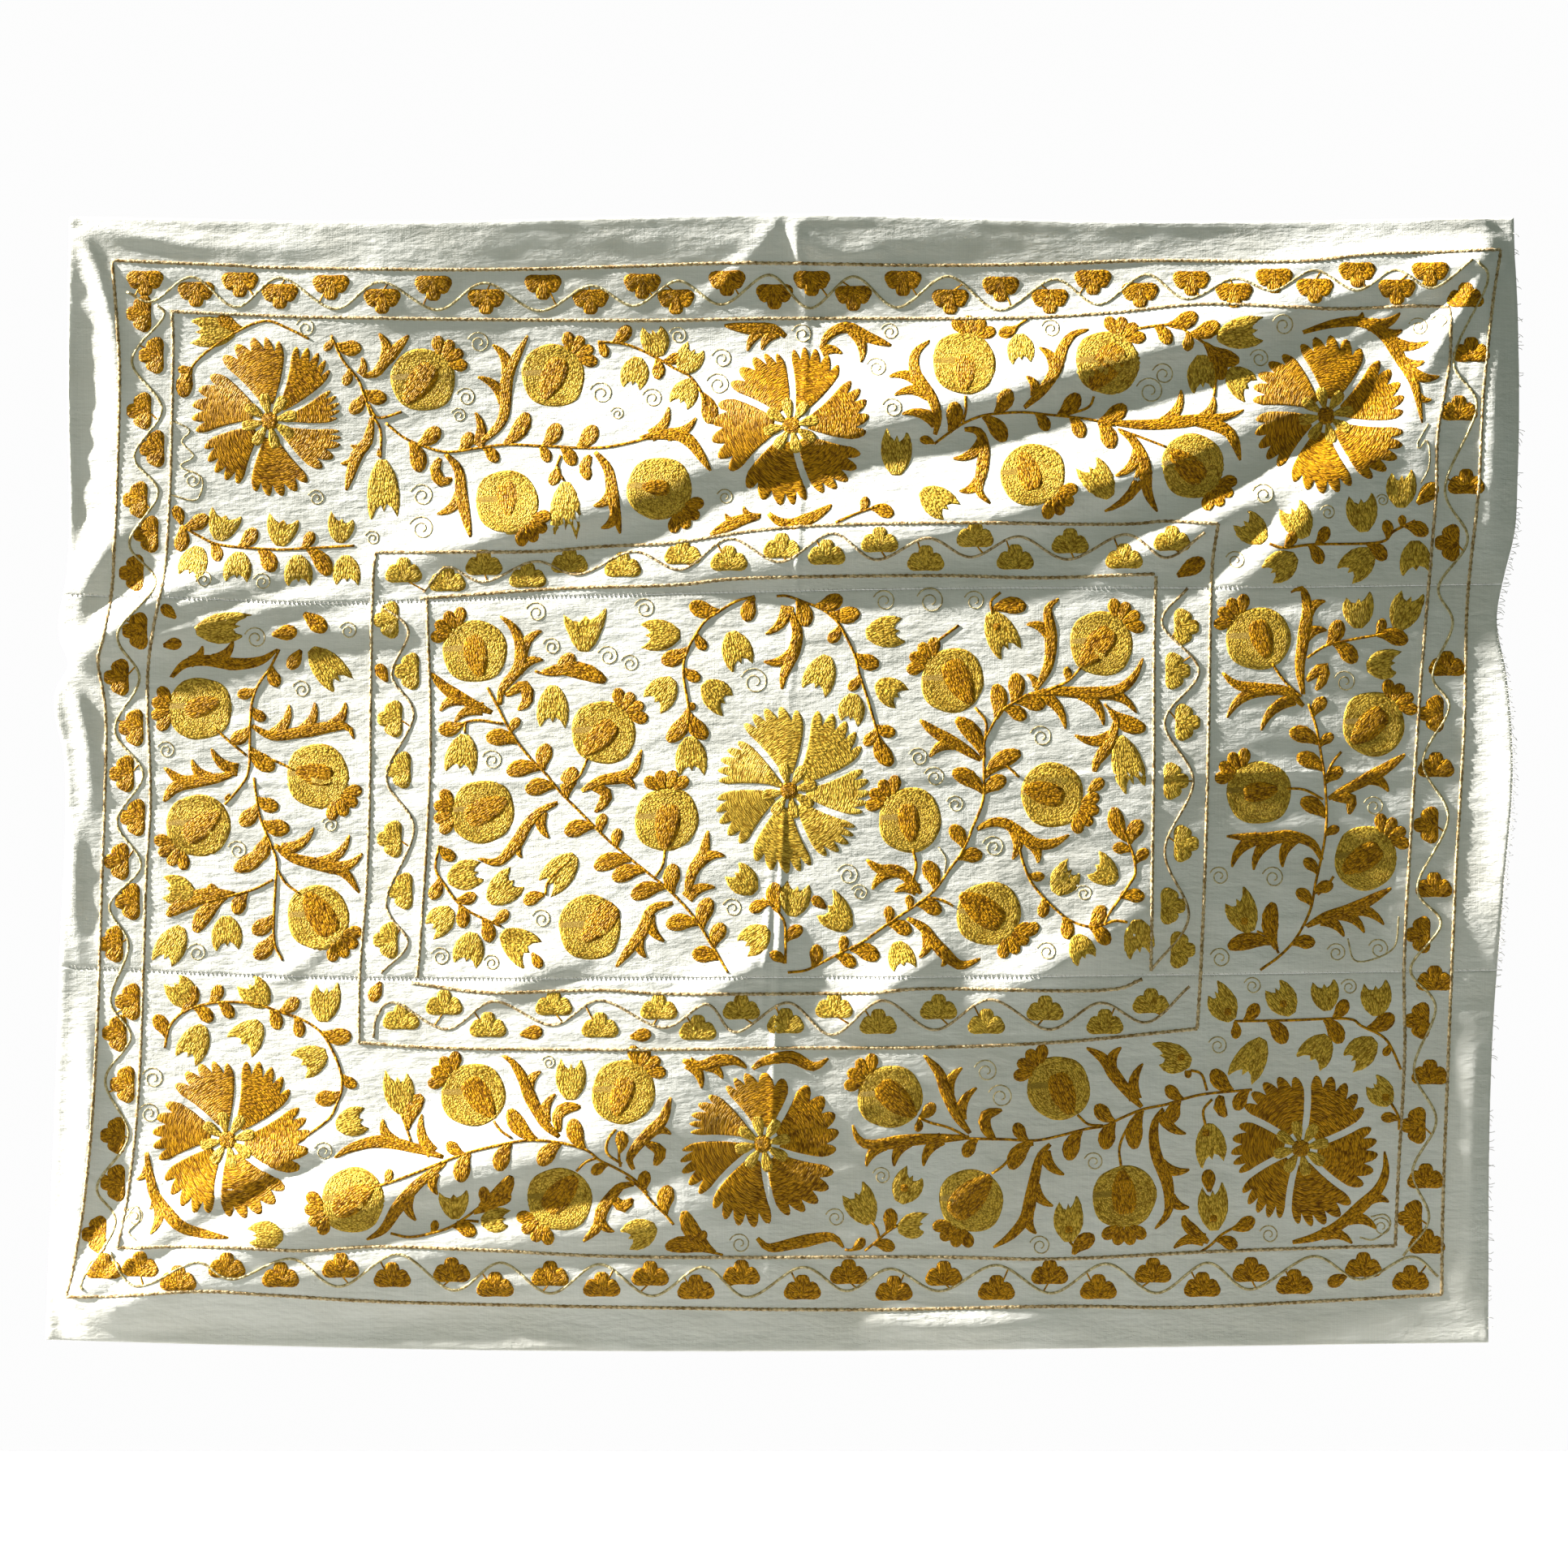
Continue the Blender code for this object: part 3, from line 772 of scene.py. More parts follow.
# Motifs

LEAF_SLANT = 0.75
LEAF_CURL = 0.12
STEM_WIDTH = 0.42
VINE_WIDTH = 0.42
STALK_WIDTH = 0.28
TENDRIL_WIDTH = 0.28
FRAME_CORD_WIDTH = 0.50
FRAME_TWIST = 0.9

Stem = namedtuple("Stem", "line leaves")
Comb = namedtuple("Comb", "spine teeth")
Tulip = namedtuple("Tulip", "base tip other")
Spiral = namedtuple("Spiral", "centre radius")
Pomegranate = namedtuple("Pomegranate", "centre seed_root seed_tip crown")
Rosette = namedtuple("Rosette", "centre silk petals")


def nearest_on(line, place, slant):
    """The point of a line that a leaf towards a place grows from, a little before the nearest one."""
    distance = np.hypot(*(line - place).T)
    nearest = int(distance.argmin())
    reach = reach_along(line)
    target = max(0.0, reach[nearest] - slant * distance[nearest])
    return line[int(np.searchsorted(reach, target))]


def curl_from(line, place):
    """Which way a leaf that grows from a line towards a place curls, as 1.0 or -1.0."""
    nearest = int(np.hypot(*(line - place).T).argmin())
    run = line[min(nearest + 1, len(line) - 1)] - line[max(nearest - 1, 0)]
    away = place - line[nearest]
    return -1.0 if run[0] * away[1] - run[1] * away[0] > 0.0 else 1.0


def sew_stem(stem):
    """A stem with drop-shaped leaves, each given by its tip."""
    line = smooth(stem.line)
    for tip in stem.leaves:
        root = nearest_on(line, spot(tip), LEAF_SLANT)
        sew("dark_gold", tip[1]).leaf(root, tip, bend=LEAF_CURL * curl_from(line, spot(tip)))
    sew("dark_gold", line[:, 1].mean()).cord(line, STEM_WIDTH, step=0.45)


COMB_ROWS = [0.0, 0.22, 0.55, 0.80, 0.94, 1.0]
COMB_WIDTHS = [0.55, 1.40, 1.90, 1.35, 0.62, 0.18]
TOOTH_SLANT = 0.8
TOOTH_CURL = 0.16
TOOTH_LIFT = 0.9


def sew_comb(comb):
    """A thick curved leaf with teeth along one side."""
    line = smooth(comb.spine, pitch=0.7)
    work = sew("dark_gold", line[:, 1].mean())
    for tooth in comb.teeth:
        tooth = spot(tooth)
        root = nearest_on(line, tooth, TOOTH_SLANT)
        width = fitted(TOOTH_FIT, np.hypot(*(tooth - root)))
        bend = TOOTH_CURL * curl_from(line, tooth)
        work.leaf(root, tooth, width, bend, PATCH_LIFT * TOOTH_LIFT, THORN)
    work.ribbon(line, np.interp(np.linspace(0.0, 1.0, len(line)), COMB_ROWS, COMB_WIDTHS))


TULIP_ROWS = [0.0, 0.08, 0.22, 0.40, 0.58, 0.76, 0.92, 1.0]
TULIP_COLUMNS = [-1.0, -0.88, -0.55, -0.22, 0.0, 0.22, 0.55, 0.88, 1.0]
TULIP_REACH = [1.0, 0.95, 0.80, 0.74, 0.86, 0.74, 0.80, 0.95, 1.0]
BELLY_ROWS = [0.0, 0.2, 0.42, 0.7, 1.0]
BELLY = [0.25, 0.75, 1.0, 0.75, 0.0]
FLARE_ROWS = [0.0, 0.42, 0.75, 1.0]
FLARE = [0.0, 0.05, 0.55, 1.0]


def sew_tulip(tulip):
    """A cup with two pointed petals that flare at its mouth."""
    base, tip, other = (spot(place) for place in tulip)
    mouth = (tip + other) / 2.0
    length = np.hypot(*(mouth - base))
    run = (mouth - base) / length
    beside = np.array([-run[1], run[0]])
    spread = (tip - other) / 2.0
    if spread @ beside < 0.0:
        spread = -spread
    rows = np.array(TULIP_ROWS)[:, None]
    columns = np.array(TULIP_COLUMNS)
    along = rows * np.array(TULIP_REACH)
    belly = fitted(CUP_FIT, length) * np.interp(rows, BELLY_ROWS, BELLY)
    flare = np.interp(rows, FLARE_ROWS, FLARE)
    places = base + (mouth - base) * along[..., None]
    places = places + beside * (belly * columns)[..., None] + spread * (flare * columns)[..., None]
    course = np.stack(np.broadcast_arrays(along * length, belly * columns + flare * columns), axis=-1)
    sew("pale_gold", base[1]).patch(places, course)


SPIRAL_MARKS = 26
SPIRAL_START = math.radians(200.0)
SPIRAL_HALF_TURNS = 3.3
SPIRAL_SHRINKING = 0.78
SPIRAL_WIDTH = 0.24


def sew_spiral(spiral):
    """A thin spiral of cream thread."""
    turn = np.linspace(0.0, 1.0, SPIRAL_MARKS)
    angle = SPIRAL_START + turn * SPIRAL_HALF_TURNS * math.pi
    radius = spiral.radius * (1.0 - SPIRAL_SHRINKING * turn)
    line = spot(spiral.centre) + radius[:, None] * np.stack([np.cos(angle), np.sin(angle)], axis=1)
    sew("cream", spiral.centre[1]).cord(line, SPIRAL_WIDTH, step=0.3)


# A disc's grid is closer near its rim, and its outline wobbles slightly
DISC_CROWDING = 0.8
SLOW_WOBBLE = 0.025
QUICK_WOBBLE = 0.015


def disc_grid(count):
    """A square grid mapped to the unit disc."""
    share = np.linspace(-1.0, 1.0, count)
    share = np.sign(share) * np.abs(share) ** DISC_CROWDING
    u, v = np.meshgrid(share, share)
    return np.stack([u * np.sqrt(1.0 - v**2 / 2.0), v * np.sqrt(1.0 - u**2 / 2.0)], axis=-1)


def sew_disc(work, centre, radius, count, lift):
    """A round padded patch, stitched in rings."""
    unit = disc_grid(count)
    angle = np.arctan2(unit[..., 1], unit[..., 0])
    wobble = SLOW_WOBBLE * np.sin(2.0 * angle + centre[0]) + QUICK_WOBBLE * np.sin(5.0 * angle + centre[1])
    unit = unit * (1.0 + wobble)[..., None]
    distance = np.hypot(unit[..., 0], unit[..., 1]) * radius
    work.patch(centre + unit * radius, np.stack([angle * radius, distance], axis=-1), PATCH_LIFT * lift)


POMEGRANATE_RADIUS = 4.5
POMEGRANATE_ROWS = 17
SEED_SHAPE = [0.14, 0.30, 0.58, 0.88, 1.0, 0.99, 0.84, 0.52, 0.22]
SEED_WIDTH = 0.60
SEED_LIFT = 1.35
CROWN_LOBES = (-51.0, -17.0, 17.0, 51.0)
CROWN_GATHER = 0.22
CROWN_OVERLAP = 0.5
CROWN_LENGTH = 2.8
CROWN_WIDTH = 1.9


def sew_pomegranate(fruit):
    """A round fruit with a long seed at its heart and a small crown."""
    centre = spot(fruit.centre)
    sew_disc(sew("pale_gold", centre[1]), centre, POMEGRANATE_RADIUS, POMEGRANATE_ROWS, 1.0)
    work = sew("dark_gold", centre[1])
    root, tip = spot(fruit.seed_root), spot(fruit.seed_tip)
    line = root + (tip - root) * np.array(LEAF_ROWS)[:, None]
    width = SEED_WIDTH * np.hypot(*(tip - root))
    work.ribbon(line, width * np.array(SEED_SHAPE), PATCH_LIFT * SEED_LIFT)
    if fruit.crown is None:
        return
    for turn in CROWN_LOBES:
        start = centre + heading(fruit.crown + turn * CROWN_GATHER) * (POMEGRANATE_RADIUS - CROWN_OVERLAP)
        work.leaf(start, start + heading(fruit.crown + turn) * CROWN_LENGTH, width=CROWN_WIDTH)


PETAL_ROWS = [0.0, 0.05, 0.16, 0.30, 0.44, 0.58, 0.70, 0.80, 0.88, 0.95, 1.0]
PETAL_COLUMNS = 31
PETAL_START = 2.2
PETAL_GAP = 0.40
PETAL_ROUNDING = 0.09
PETAL_LIFT = 1.2
PETAL_SWIRL = 9.0
SWIRL_REACH = 10.0
SWIRL_POWER = 1.5
STITCH_SPREAD = 0.8
FINGERS = 5.0
FINGER_DEPTH = 0.16
FINGER_START = 0.60
FINGER_BLUNTNESS = 0.8
STAR_POINTS = 8
STAR_TURN = 12.0
STAR_START = 0.8
STAR_REACH = 3.9
STAR_WIDTH = 1.7
STAR_LIFT = 1.35
EYE_RADIUS = 1.3
EYE_ROWS = 7
EYE_LIFT = 1.9


def sew_rosette(rosette):
    """Broad petals with fingered ends round a small star and a dark eye."""
    centre = spot(rosette.centre)
    petals = sorted(rosette.petals)
    rows = np.array(PETAL_ROWS)[:, None]
    columns = np.linspace(-1.0, 1.0, PETAL_COLUMNS)
    finger = np.abs(np.cos(columns * FINGERS * math.pi / 2.0)) ** FINGER_BLUNTNESS
    depth = np.clip((rows - FINGER_START) / (1.0 - FINGER_START), 0.0, 1.0)
    for number, (angle, reach) in enumerate(petals):
        before = petals[number - 1][0] - (360.0 if number == 0 else 0.0)
        after = petals[(number + 1) % len(petals)][0] + (360.0 if number + 1 == len(petals) else 0.0)
        ends = reach * (1.0 - PETAL_ROUNDING * columns**2 - FINGER_DEPTH * (1.0 - finger) * depth)
        distance = PETAL_START + rows * (ends - PETAL_START)
        gap = np.degrees(PETAL_GAP / distance)
        low, high = (before - angle) / 2.0 + gap, (after - angle) / 2.0 - gap
        spread = np.where(columns < 0.0, -low, high) * columns
        turned = np.radians(angle + spread + PETAL_SWIRL * (distance / SWIRL_REACH) ** SWIRL_POWER)
        offsets = distance[..., None] * np.stack([np.cos(turned), -np.sin(turned)], axis=-1)
        course = np.stack([turned * distance * STITCH_SPREAD, distance], axis=-1)
        sew(rosette.silk, centre[1]).patch(centre + offsets, course, PATCH_LIFT * PETAL_LIFT)
    star = sew("pale_gold", centre[1])
    for number in range(STAR_POINTS):
        way = heading(number * 360.0 / STAR_POINTS + STAR_TURN)
        root, tip = centre + way * STAR_START, centre + way * STAR_REACH
        star.leaf(root, tip, width=STAR_WIDTH, lift=PATCH_LIFT * STAR_LIFT, shape=ROUND_LEAF)
    sew_disc(sew("dark_gold", centre[1]), centre, EYE_RADIUS, EYE_ROWS, EYE_LIFT)


# The lobes of a trefoil: their turn from the middle one, their length and width
Lobe = namedtuple("Lobe", "turn length width")
TREFOIL_LOBES = (Lobe(-62.0, 2.6, 2.7), Lobe(62.0, 2.6, 2.7), Lobe(0.0, 3.0, 2.2))
TREFOIL_SETBACK = 0.9
LOBE_OVERLAP = 0.4
SHORTEST_STALK = 0.75


def sew_trefoil(silk, centre, facing, vine):
    """Three round lobes, the middle one facing the given way, with a short stalk to the vine."""
    centre = spot(centre)
    base = centre - heading(facing) * TREFOIL_SETBACK
    work = sew(silk, centre[1])
    for lobe in TREFOIL_LOBES:
        way = heading(facing + lobe.turn)
        work.leaf(base - way * LOBE_OVERLAP, base + way * lobe.length, width=lobe.width, shape=ROUND_LEAF)
    nearest = vine[np.hypot(*(vine - centre).T).argmin()]
    if np.hypot(*(nearest - base)) > SHORTEST_STALK:
        sew("dark_gold", centre[1]).cord(np.stack([nearest, base]), STALK_WIDTH, step=0.3)


def sew_small_leaf(ends):
    """A single leaf from root to tip."""
    root, tip = ends
    sew("dark_gold", tip[1]).leaf(root, tip)


def sew_tendril(places):
    """A thin curling thread."""
    sew("cream", places[0][1]).cord(smooth(places), TENDRIL_WIDTH, step=0.4)


TULIP_EYE_RADIUS = 0.75
TULIP_EYE_ROWS = 5
TULIP_EYE_LIFT = 1.5


def sew_tulip_eye(centre):
    """A small dark eye in a cup."""
    work = sew("dark_gold", centre[1])
    sew_disc(work, spot(centre), TULIP_EYE_RADIUS, TULIP_EYE_ROWS, TULIP_EYE_LIFT)


def sew_vine(silk, waves):
    """A wavy vine through its peaks and lows."""
    line = smooth(waves, pitch=0.3)
    sew(silk, line[:, 1].mean()).cord(line, VINE_WIDTH, step=0.35)
    return line


def sew_frame(line):
    """A straight run of twisted cord."""
    line = smooth(line, pitch=1.0)
    sew("brown", line[:, 1].mean()).cord(line, FRAME_CORD_WIDTH, step=0.22, twist=FRAME_TWIST)


# Stitches over an edge: the pitch between them, their half length, their slant and how unevenly they lie
Whip = namedtuple("Whip", "pitch half_length slant jitter")
SIDE_HEM = Whip(0.75, 0.22, (0.8, 0.6), 0.15)
LEVEL_HEM = Whip(0.75, 0.22, (0.6, 0.8), 0.15)
SEAM_WHIP = Whip(0.62, 0.26, (0.45, 0.9), 0.1)
WHIP_LENGTHS = (0.7, 1.2)
THREAD_WIDTH = 0.075
THREAD_RISE = 0.5
THREAD_STEP = 0.3

# Where the stitches start and end, across or down
SIDE_SPAN = (1.0, 154.0)
LEVEL_SPAN = (-97.0, 96.0)
SEAM_SPAN = (-97.5, 97.0)

chance = np.random.RandomState(21)


def whip_stitches(whip, span, edge):
    """Short slanting stitches over an edge; edge turns a mark along it into a place."""
    for mark in np.arange(*span, whip.pitch):
        centre = np.array(edge(mark + chance.uniform(-whip.jitter, whip.jitter)))
        reach = np.array(whip.slant) * whip.half_length * chance.uniform(*WHIP_LENGTHS)
        ends = np.stack([centre - reach, centre + reach])
        sew("thread", centre[1]).cord(ends, THREAD_WIDTH, step=THREAD_STEP, height=THREAD_RISE)


def sew_hems():
    """Small stitches that hold the turned hems at the left, top and bottom edges."""
    whip_stitches(SIDE_HEM, SIDE_SPAN, lambda mark: (edge_offset(LEFT_EDGE, mark) + HEM_WIDTH, mark))
    for edge, inset in ((TOP_EDGE, HEM_WIDTH), (BOTTOM_EDGE, -HEM_WIDTH)):
        whip_stitches(LEVEL_HEM, LEVEL_SPAN, lambda mark: (mark, edge_offset(edge, mark) + inset))


def sew_seams():
    """Whip stitches that join the widths edge to edge."""
    for seam in (UPPER_SEAM, LOWER_SEAM):
        whip_stitches(SEAM_WHIP, SEAM_SPAN, lambda mark: (mark, edge_offset(seam, mark)))


# Loose thread ends: where they hang, the share of them outside the ragged span, and how each one lies
FRAY_SPAN = (2.0, 153.0)
FRAY_PITCH = 0.38
RAGGED_SPAN = (40.0, 104.0)
FRAY_ELSEWHERE = 0.35
FRAY_JITTER = (-0.2, 0.2)
FRAY_ROOT = 0.15
FRAY_REACH = (0.3, 1.0)
FRAY_DROOP = (-0.3, 0.6)
FRAY_BEND = (0.6, 0.2)
FRAY_WIDTH = 0.07
FRAY_RISE = 0.4


def fray_selvage():
    """Loose thread ends along the right edge, most of them in its middle."""
    for level in np.arange(*FRAY_SPAN, FRAY_PITCH):
        ragged = 1.0 if RAGGED_SPAN[0] < level < RAGGED_SPAN[1] else FRAY_ELSEWHERE
        if chance.uniform() > ragged:
            continue
        level += chance.uniform(*FRAY_JITTER)
        root = np.array([edge_offset(RIGHT_EDGE, level) - FRAY_ROOT, level])
        end = np.array([chance.uniform(*FRAY_REACH), chance.uniform(*FRAY_DROOP)])
        line = np.stack([root, root + end * FRAY_BEND, root + end])
        sew("thread", level).cord(line, FRAY_WIDTH, step=THREAD_STEP, height=FRAY_RISE)


# The chart of the needlework

FRAME_LINES = [
    # Outermost, round the whole border: top, left, right, bottom
    [(-92, 6.2), (-85, 6.5), (-75, 6.9), (-70, 7.2), (-50, 7.5), (-35, 7.4), (-20, 7.0), (-5, 6.6),
     (20, 6.9), (37, 6.7), (50, 6.3), (70, 6.4), (80, 5.5), (90, 5.2), (98.1, 4.8)],
    [(-92, 6.4), (-91.3, 15), (-91, 22), (-91.4, 38), (-91.9, 50), (-93, 58), (-93.8, 61.5), (-92.8, 70),
     (-93.4, 92), (-94.3, 118), (-95.5, 133), (-97.2, 144), (-98.2, 148)],
    [(98.1, 4.8), (97.3, 9), (96.4, 15), (95.3, 25), (94.7, 38), (93.3, 53), (92.9, 70), (91.8, 90),
     (91, 115), (90.4, 135), (90.3, 148)],
    [(-98.2, 148), (-92, 147.8), (-80, 147), (-70, 147.5), (-57, 148.3), (-40, 148.8), (-20, 149.2),
     (10, 149.6), (37, 149.3), (55, 149.6), (75, 148.8), (90.3, 148)],
    # Second: top, left, right, bottom
    [(-83.9, 13.2), (-75, 13.6), (-60, 14.1), (-20, 14.4), (0, 14.1), (30, 14.1), (44, 13.5), (57, 12.3),
     (70, 12.8), (76, 13), (87, 12.6), (90.8, 12.8)],
    [(-83.8, 13), (-83.7, 20), (-84.1, 38), (-84.9, 50), (-86.2, 57), (-87.1, 64), (-86.7, 80),
     (-87.3, 91), (-88.2, 118), (-89.5, 132), (-91, 141.2)],
    [(90.8, 12.8), (90.8, 20), (89.1, 30), (88.9, 38), (88, 50), (86.7, 67), (85.3, 90), (84.8, 103),
     (85, 115), (84.3, 130), (83.9, 141.3)],
    [(-91, 141.2), (-78, 140.9), (-65, 141.4), (-55, 140.8), (-40, 141.3), (-20, 142.2), (20, 142.4),
     (37, 142.8), (60, 141.9), (83.9, 141.3)],
    # Third, round the middle field: top, left, right, bottom
    [(-55.8, 46.2), (-35, 46.2), (-25, 45.5), (-15, 45), (-5, 43.5), (5, 42.7), (20, 42.4), (45, 42.5),
     (52, 42.1), (59.1, 42.5)],
    [(-55.8, 46.2), (-56.2, 50), (-56.5, 65), (-56.6, 80), (-57, 92), (-57.9, 104), (-58, 113.2)],
    [(59.1, 42.5), (58.3, 49), (58, 60), (57.7, 75.6), (57.3, 90), (56.8, 104), (56.4, 111.3)],
    [(-58, 113.2), (-45, 113.9), (-20, 114), (0, 113.8), (20, 113.7), (38, 113), (56.4, 111.3)],
    # Innermost: top, left, right, bottom
    [(-49.7, 52.5), (-45, 52.2), (-30, 51.2), (-15, 50.8), (-5, 49.9), (20, 49.5), (35, 49.8),
     (50.5, 49.3)],
    [(-48.8, 52.7), (-48.3, 70), (-48.6, 83), (-49.5, 98), (-50, 104.3)],
    [(50.7, 49.6), (50.4, 60), (50.3, 75.6), (50.1, 90), (50, 103.4)],
    [(-50.8, 105), (-40, 106.3), (-25, 105.9), (-15, 106.4), (10, 106.3), (20, 105.7), (43, 106),
     (48.8, 104.5)],
]

# Vines, through each peak and each low of their waves
OUTER_VINES = [
    [(-90, 10.5), (-86.5, 11.8), (-81, 8.5), (-75, 12.6), (-69, 8.6), (-61.5, 12.9), (-55.2, 9.2),
     (-47.5, 13), (-41, 9.3), (-33.5, 13.1), (-26.5, 9.7), (-20.5, 12.4), (-14.5, 9), (-8.5, 12.2),
     (-2, 8.2), (3.5, 12.7), (9.5, 8.4), (15.5, 12.6), (22.5, 8.4), (29.5, 13), (37, 8.8),
     (43, 12.3), (49.5, 8.2), (55, 11.6), (61.5, 8.8), (66.8, 10.5), (72.5, 7.7), (78.2, 10.5),
     (83.5, 7.7), (88.5, 10.2), (94, 6.3)],
    [(-86, 12.2), (-85, 14), (-89.3, 20), (-85.2, 26.5), (-89, 33), (-85.7, 38), (-89.6, 45),
     (-85.9, 50.5), (-91, 57.5), (-88.2, 63.5), (-91.6, 70.5), (-87.7, 76.5), (-91.3, 83), (-88, 89),
     (-92.3, 94.5), (-89.7, 100), (-92.2, 107.5), (-89.4, 112.5), (-92.9, 118.5), (-89.7, 126),
     (-94, 133), (-91.4, 138), (-95.8, 145.5), (-95.7, 147)],
    [(94.7, 6.5), (96, 9.5), (91.3, 20), (94.4, 26.5), (90.1, 37.5), (93.3, 44.5), (89.3, 51),
     (91.3, 56), (88.5, 63), (90.8, 67.5), (87.2, 75), (90.7, 82.5), (86.5, 92), (89.8, 97),
     (85.7, 103.2), (89.2, 108.5), (86.3, 117), (89.4, 124), (86.2, 131), (88.5, 137.5), (85, 142.7)],
    [(-92, 141.8), (-89.5, 145.8), (-86.5, 146), (-80, 143), (-75, 145.3), (-67, 142.5), (-60.5, 146.3),
     (-52.5, 141.8), (-45, 146.8), (-38.5, 143), (-31.8, 147.2), (-25, 143.2), (-18, 147.6),
     (-11, 143.6), (-5, 147.8), (2.5, 143.7), (8.5, 147), (14.5, 144), (21.3, 147.1), (29, 143.6),
     (36.5, 147.5), (44, 143.5), (51, 147.6), (58, 143.5), (64, 147.2), (72.5, 142.7), (79, 145.9),
     (86, 142.8), (89.8, 145.5)],
]
INNER_VINES = [
    [(-49.3, 51.7), (-46, 48.3), (-41, 50.3), (-34, 47.5), (-28, 49.3), (-20.6, 46.2), (-14, 48.7),
     (-7.5, 44.5), (-0.5, 47.7), (6.5, 43.8), (12.5, 47.4), (19.5, 44.5), (25.5, 47), (32, 44.2),
     (38.7, 47.3), (46.5, 43.9), (52, 47.1), (57.3, 43.7)],
    [(-55, 53.5), (-51.3, 57), (-53.6, 63), (-50.6, 68.5), (-54.3, 77), (-50.5, 84), (-54.3, 94),
     (-51.3, 99.5), (-55, 103.7)],
    [(55, 51.2), (51.5, 56), (56.5, 62.5), (51.8, 69.5), (55.7, 77.5), (51.8, 87), (55.1, 96),
     (50, 103.3)],
    [(-56, 112.5), (-55.5, 109.5), (-53, 107.7), (-46, 111.3), (-39.5, 107.5), (-31.5, 110.7),
     (-25, 107.3), (-16.5, 111), (-10.5, 107.8), (-6.5, 111.6), (0.5, 107.6), (6.5, 112),
     (13.3, 107.3), (20.5, 111.3), (28, 107.2), (36, 111.3), (43, 107.7), (49.5, 110.4), (55.3, 105.5)],
]

# Trefoils, by the way their middle lobe faces and where they lie
UP, UP_RIGHT, RIGHT, LOW_RIGHT, LOW, LOW_LEFT, LEFT, UP_LEFT = 90, 45, 0, -45, -90, -135, 180, 135
Trefoils = namedtuple("Trefoils", "silk facing places")

TREFOILS = [
    Trefoils("dark_gold", LOW, [
        (-87.5, 9), (-80.5, 10.5), (-74.5, 9.2), (-69, 10.8), (-62, 9.6), (-55, 11.5), (-48, 9.7),
        (-40.8, 11.5), (-33, 9.5), (-26.5, 11.5), (-19.4, 9.4), (-14.8, 11.5), (-7.8, 9), (-1.3, 10.8),
        (3.8, 9), (9.5, 11), (16.3, 9), (22.8, 11.5), (29.7, 9.8), (36.4, 11.5), (42.3, 8.9),
        (48.7, 10.7), (55.7, 9.1), (61.5, 10.8), (67, 8.8), (72.5, 10.2), (78.3, 8), (83.7, 10.4),
        (88.2, 8),
    ]),
    Trefoils("dark_gold", LEFT, [
        (-88, 13.5), (-86.3, 19.2), (-88, 26.8), (-86.2, 32), (-88.5, 39), (-87, 43.7), (-89, 49),
        (-88.3, 57), (-91, 63.3), (-89, 70.2), (-90.3, 76.5), (-88.8, 82.5), (-91, 88.5), (-89.5, 94),
        (-91.8, 99.8), (-89.5, 107.7), (-91.3, 112), (-90.2, 119), (-91.5, 126), (-91.5, 132.5),
        (-94, 139.5), (90.8, 45), (88.7, 68.3), (88, 83.5), (87, 98.5), (87, 110.3), (86.6, 124.7),
        (86.2, 137.5),
    ]),
    Trefoils("dark_gold", UP, [
        (93, 11.5), (93.7, 19), (92, 27), (93, 37), (90.5, 61.8), (89, 75.6), (88.8, 92), (89, 104.8),
        (88.5, 117.7), (88, 132), (88.2, 141), (-92.8, 144), (-87.8, 143.7), (-82.5, 145.5),
        (-75.8, 143.7), (-68.5, 145), (-60.3, 143.7), (-53.3, 145), (-45.2, 144.3), (-39.3, 146.3),
        (-31.8, 144.8), (-24.8, 146.3), (-18.2, 144.8), (-12, 146.7), (-5.8, 144.7), (2.5, 146.8),
        (8.8, 144.7), (15, 147), (21.8, 145), (29, 147), (36.3, 144.9), (43, 147), (50.5, 144.8),
        (57.3, 146.8), (64, 144.8), (70, 146.5), (79.5, 144.2), (86, 146),
    ]),
    Trefoils("pale_gold", UP, [
        (-52, 49), (-46, 50.2), (-41, 48), (-35, 49.7), (-29.3, 47.7), (-22, 48.3), (-13.8, 46.6),
        (-7.5, 47.5), (-0.3, 45.8), (5.8, 46.7), (13, 45), (19.3, 47.5), (26, 44.3), (31.5, 47.3),
        (39, 45.1), (46.3, 47.2), (52.8, 44.8), (-52.2, 110), (-46.3, 108), (-40.3, 111),
        (-31.3, 108), (-25, 111), (-17, 108.5), (-11.7, 111.3), (-5.8, 108.5), (0.2, 110.4),
        (6.8, 108.3), (12.8, 110.5), (21, 108.5), (27.5, 110.5), (35.5, 108.7), (43.7, 110.6),
        (50, 107.8),
    ]),
    Trefoils("pale_gold", LEFT, [
        (-54, 55.5), (-51.2, 62.5), (-53.5, 69), (-52.3, 76), (-53.5, 85.4), (-52, 92.5), (-54, 99.2),
    ]),
    Trefoils("pale_gold", RIGHT, [
        (54.5, 56.5), (53.3, 62.5), (54.6, 69.5), (53, 77.5), (54.4, 86), (52.6, 94.5), (54, 100.5),
    ]),
]

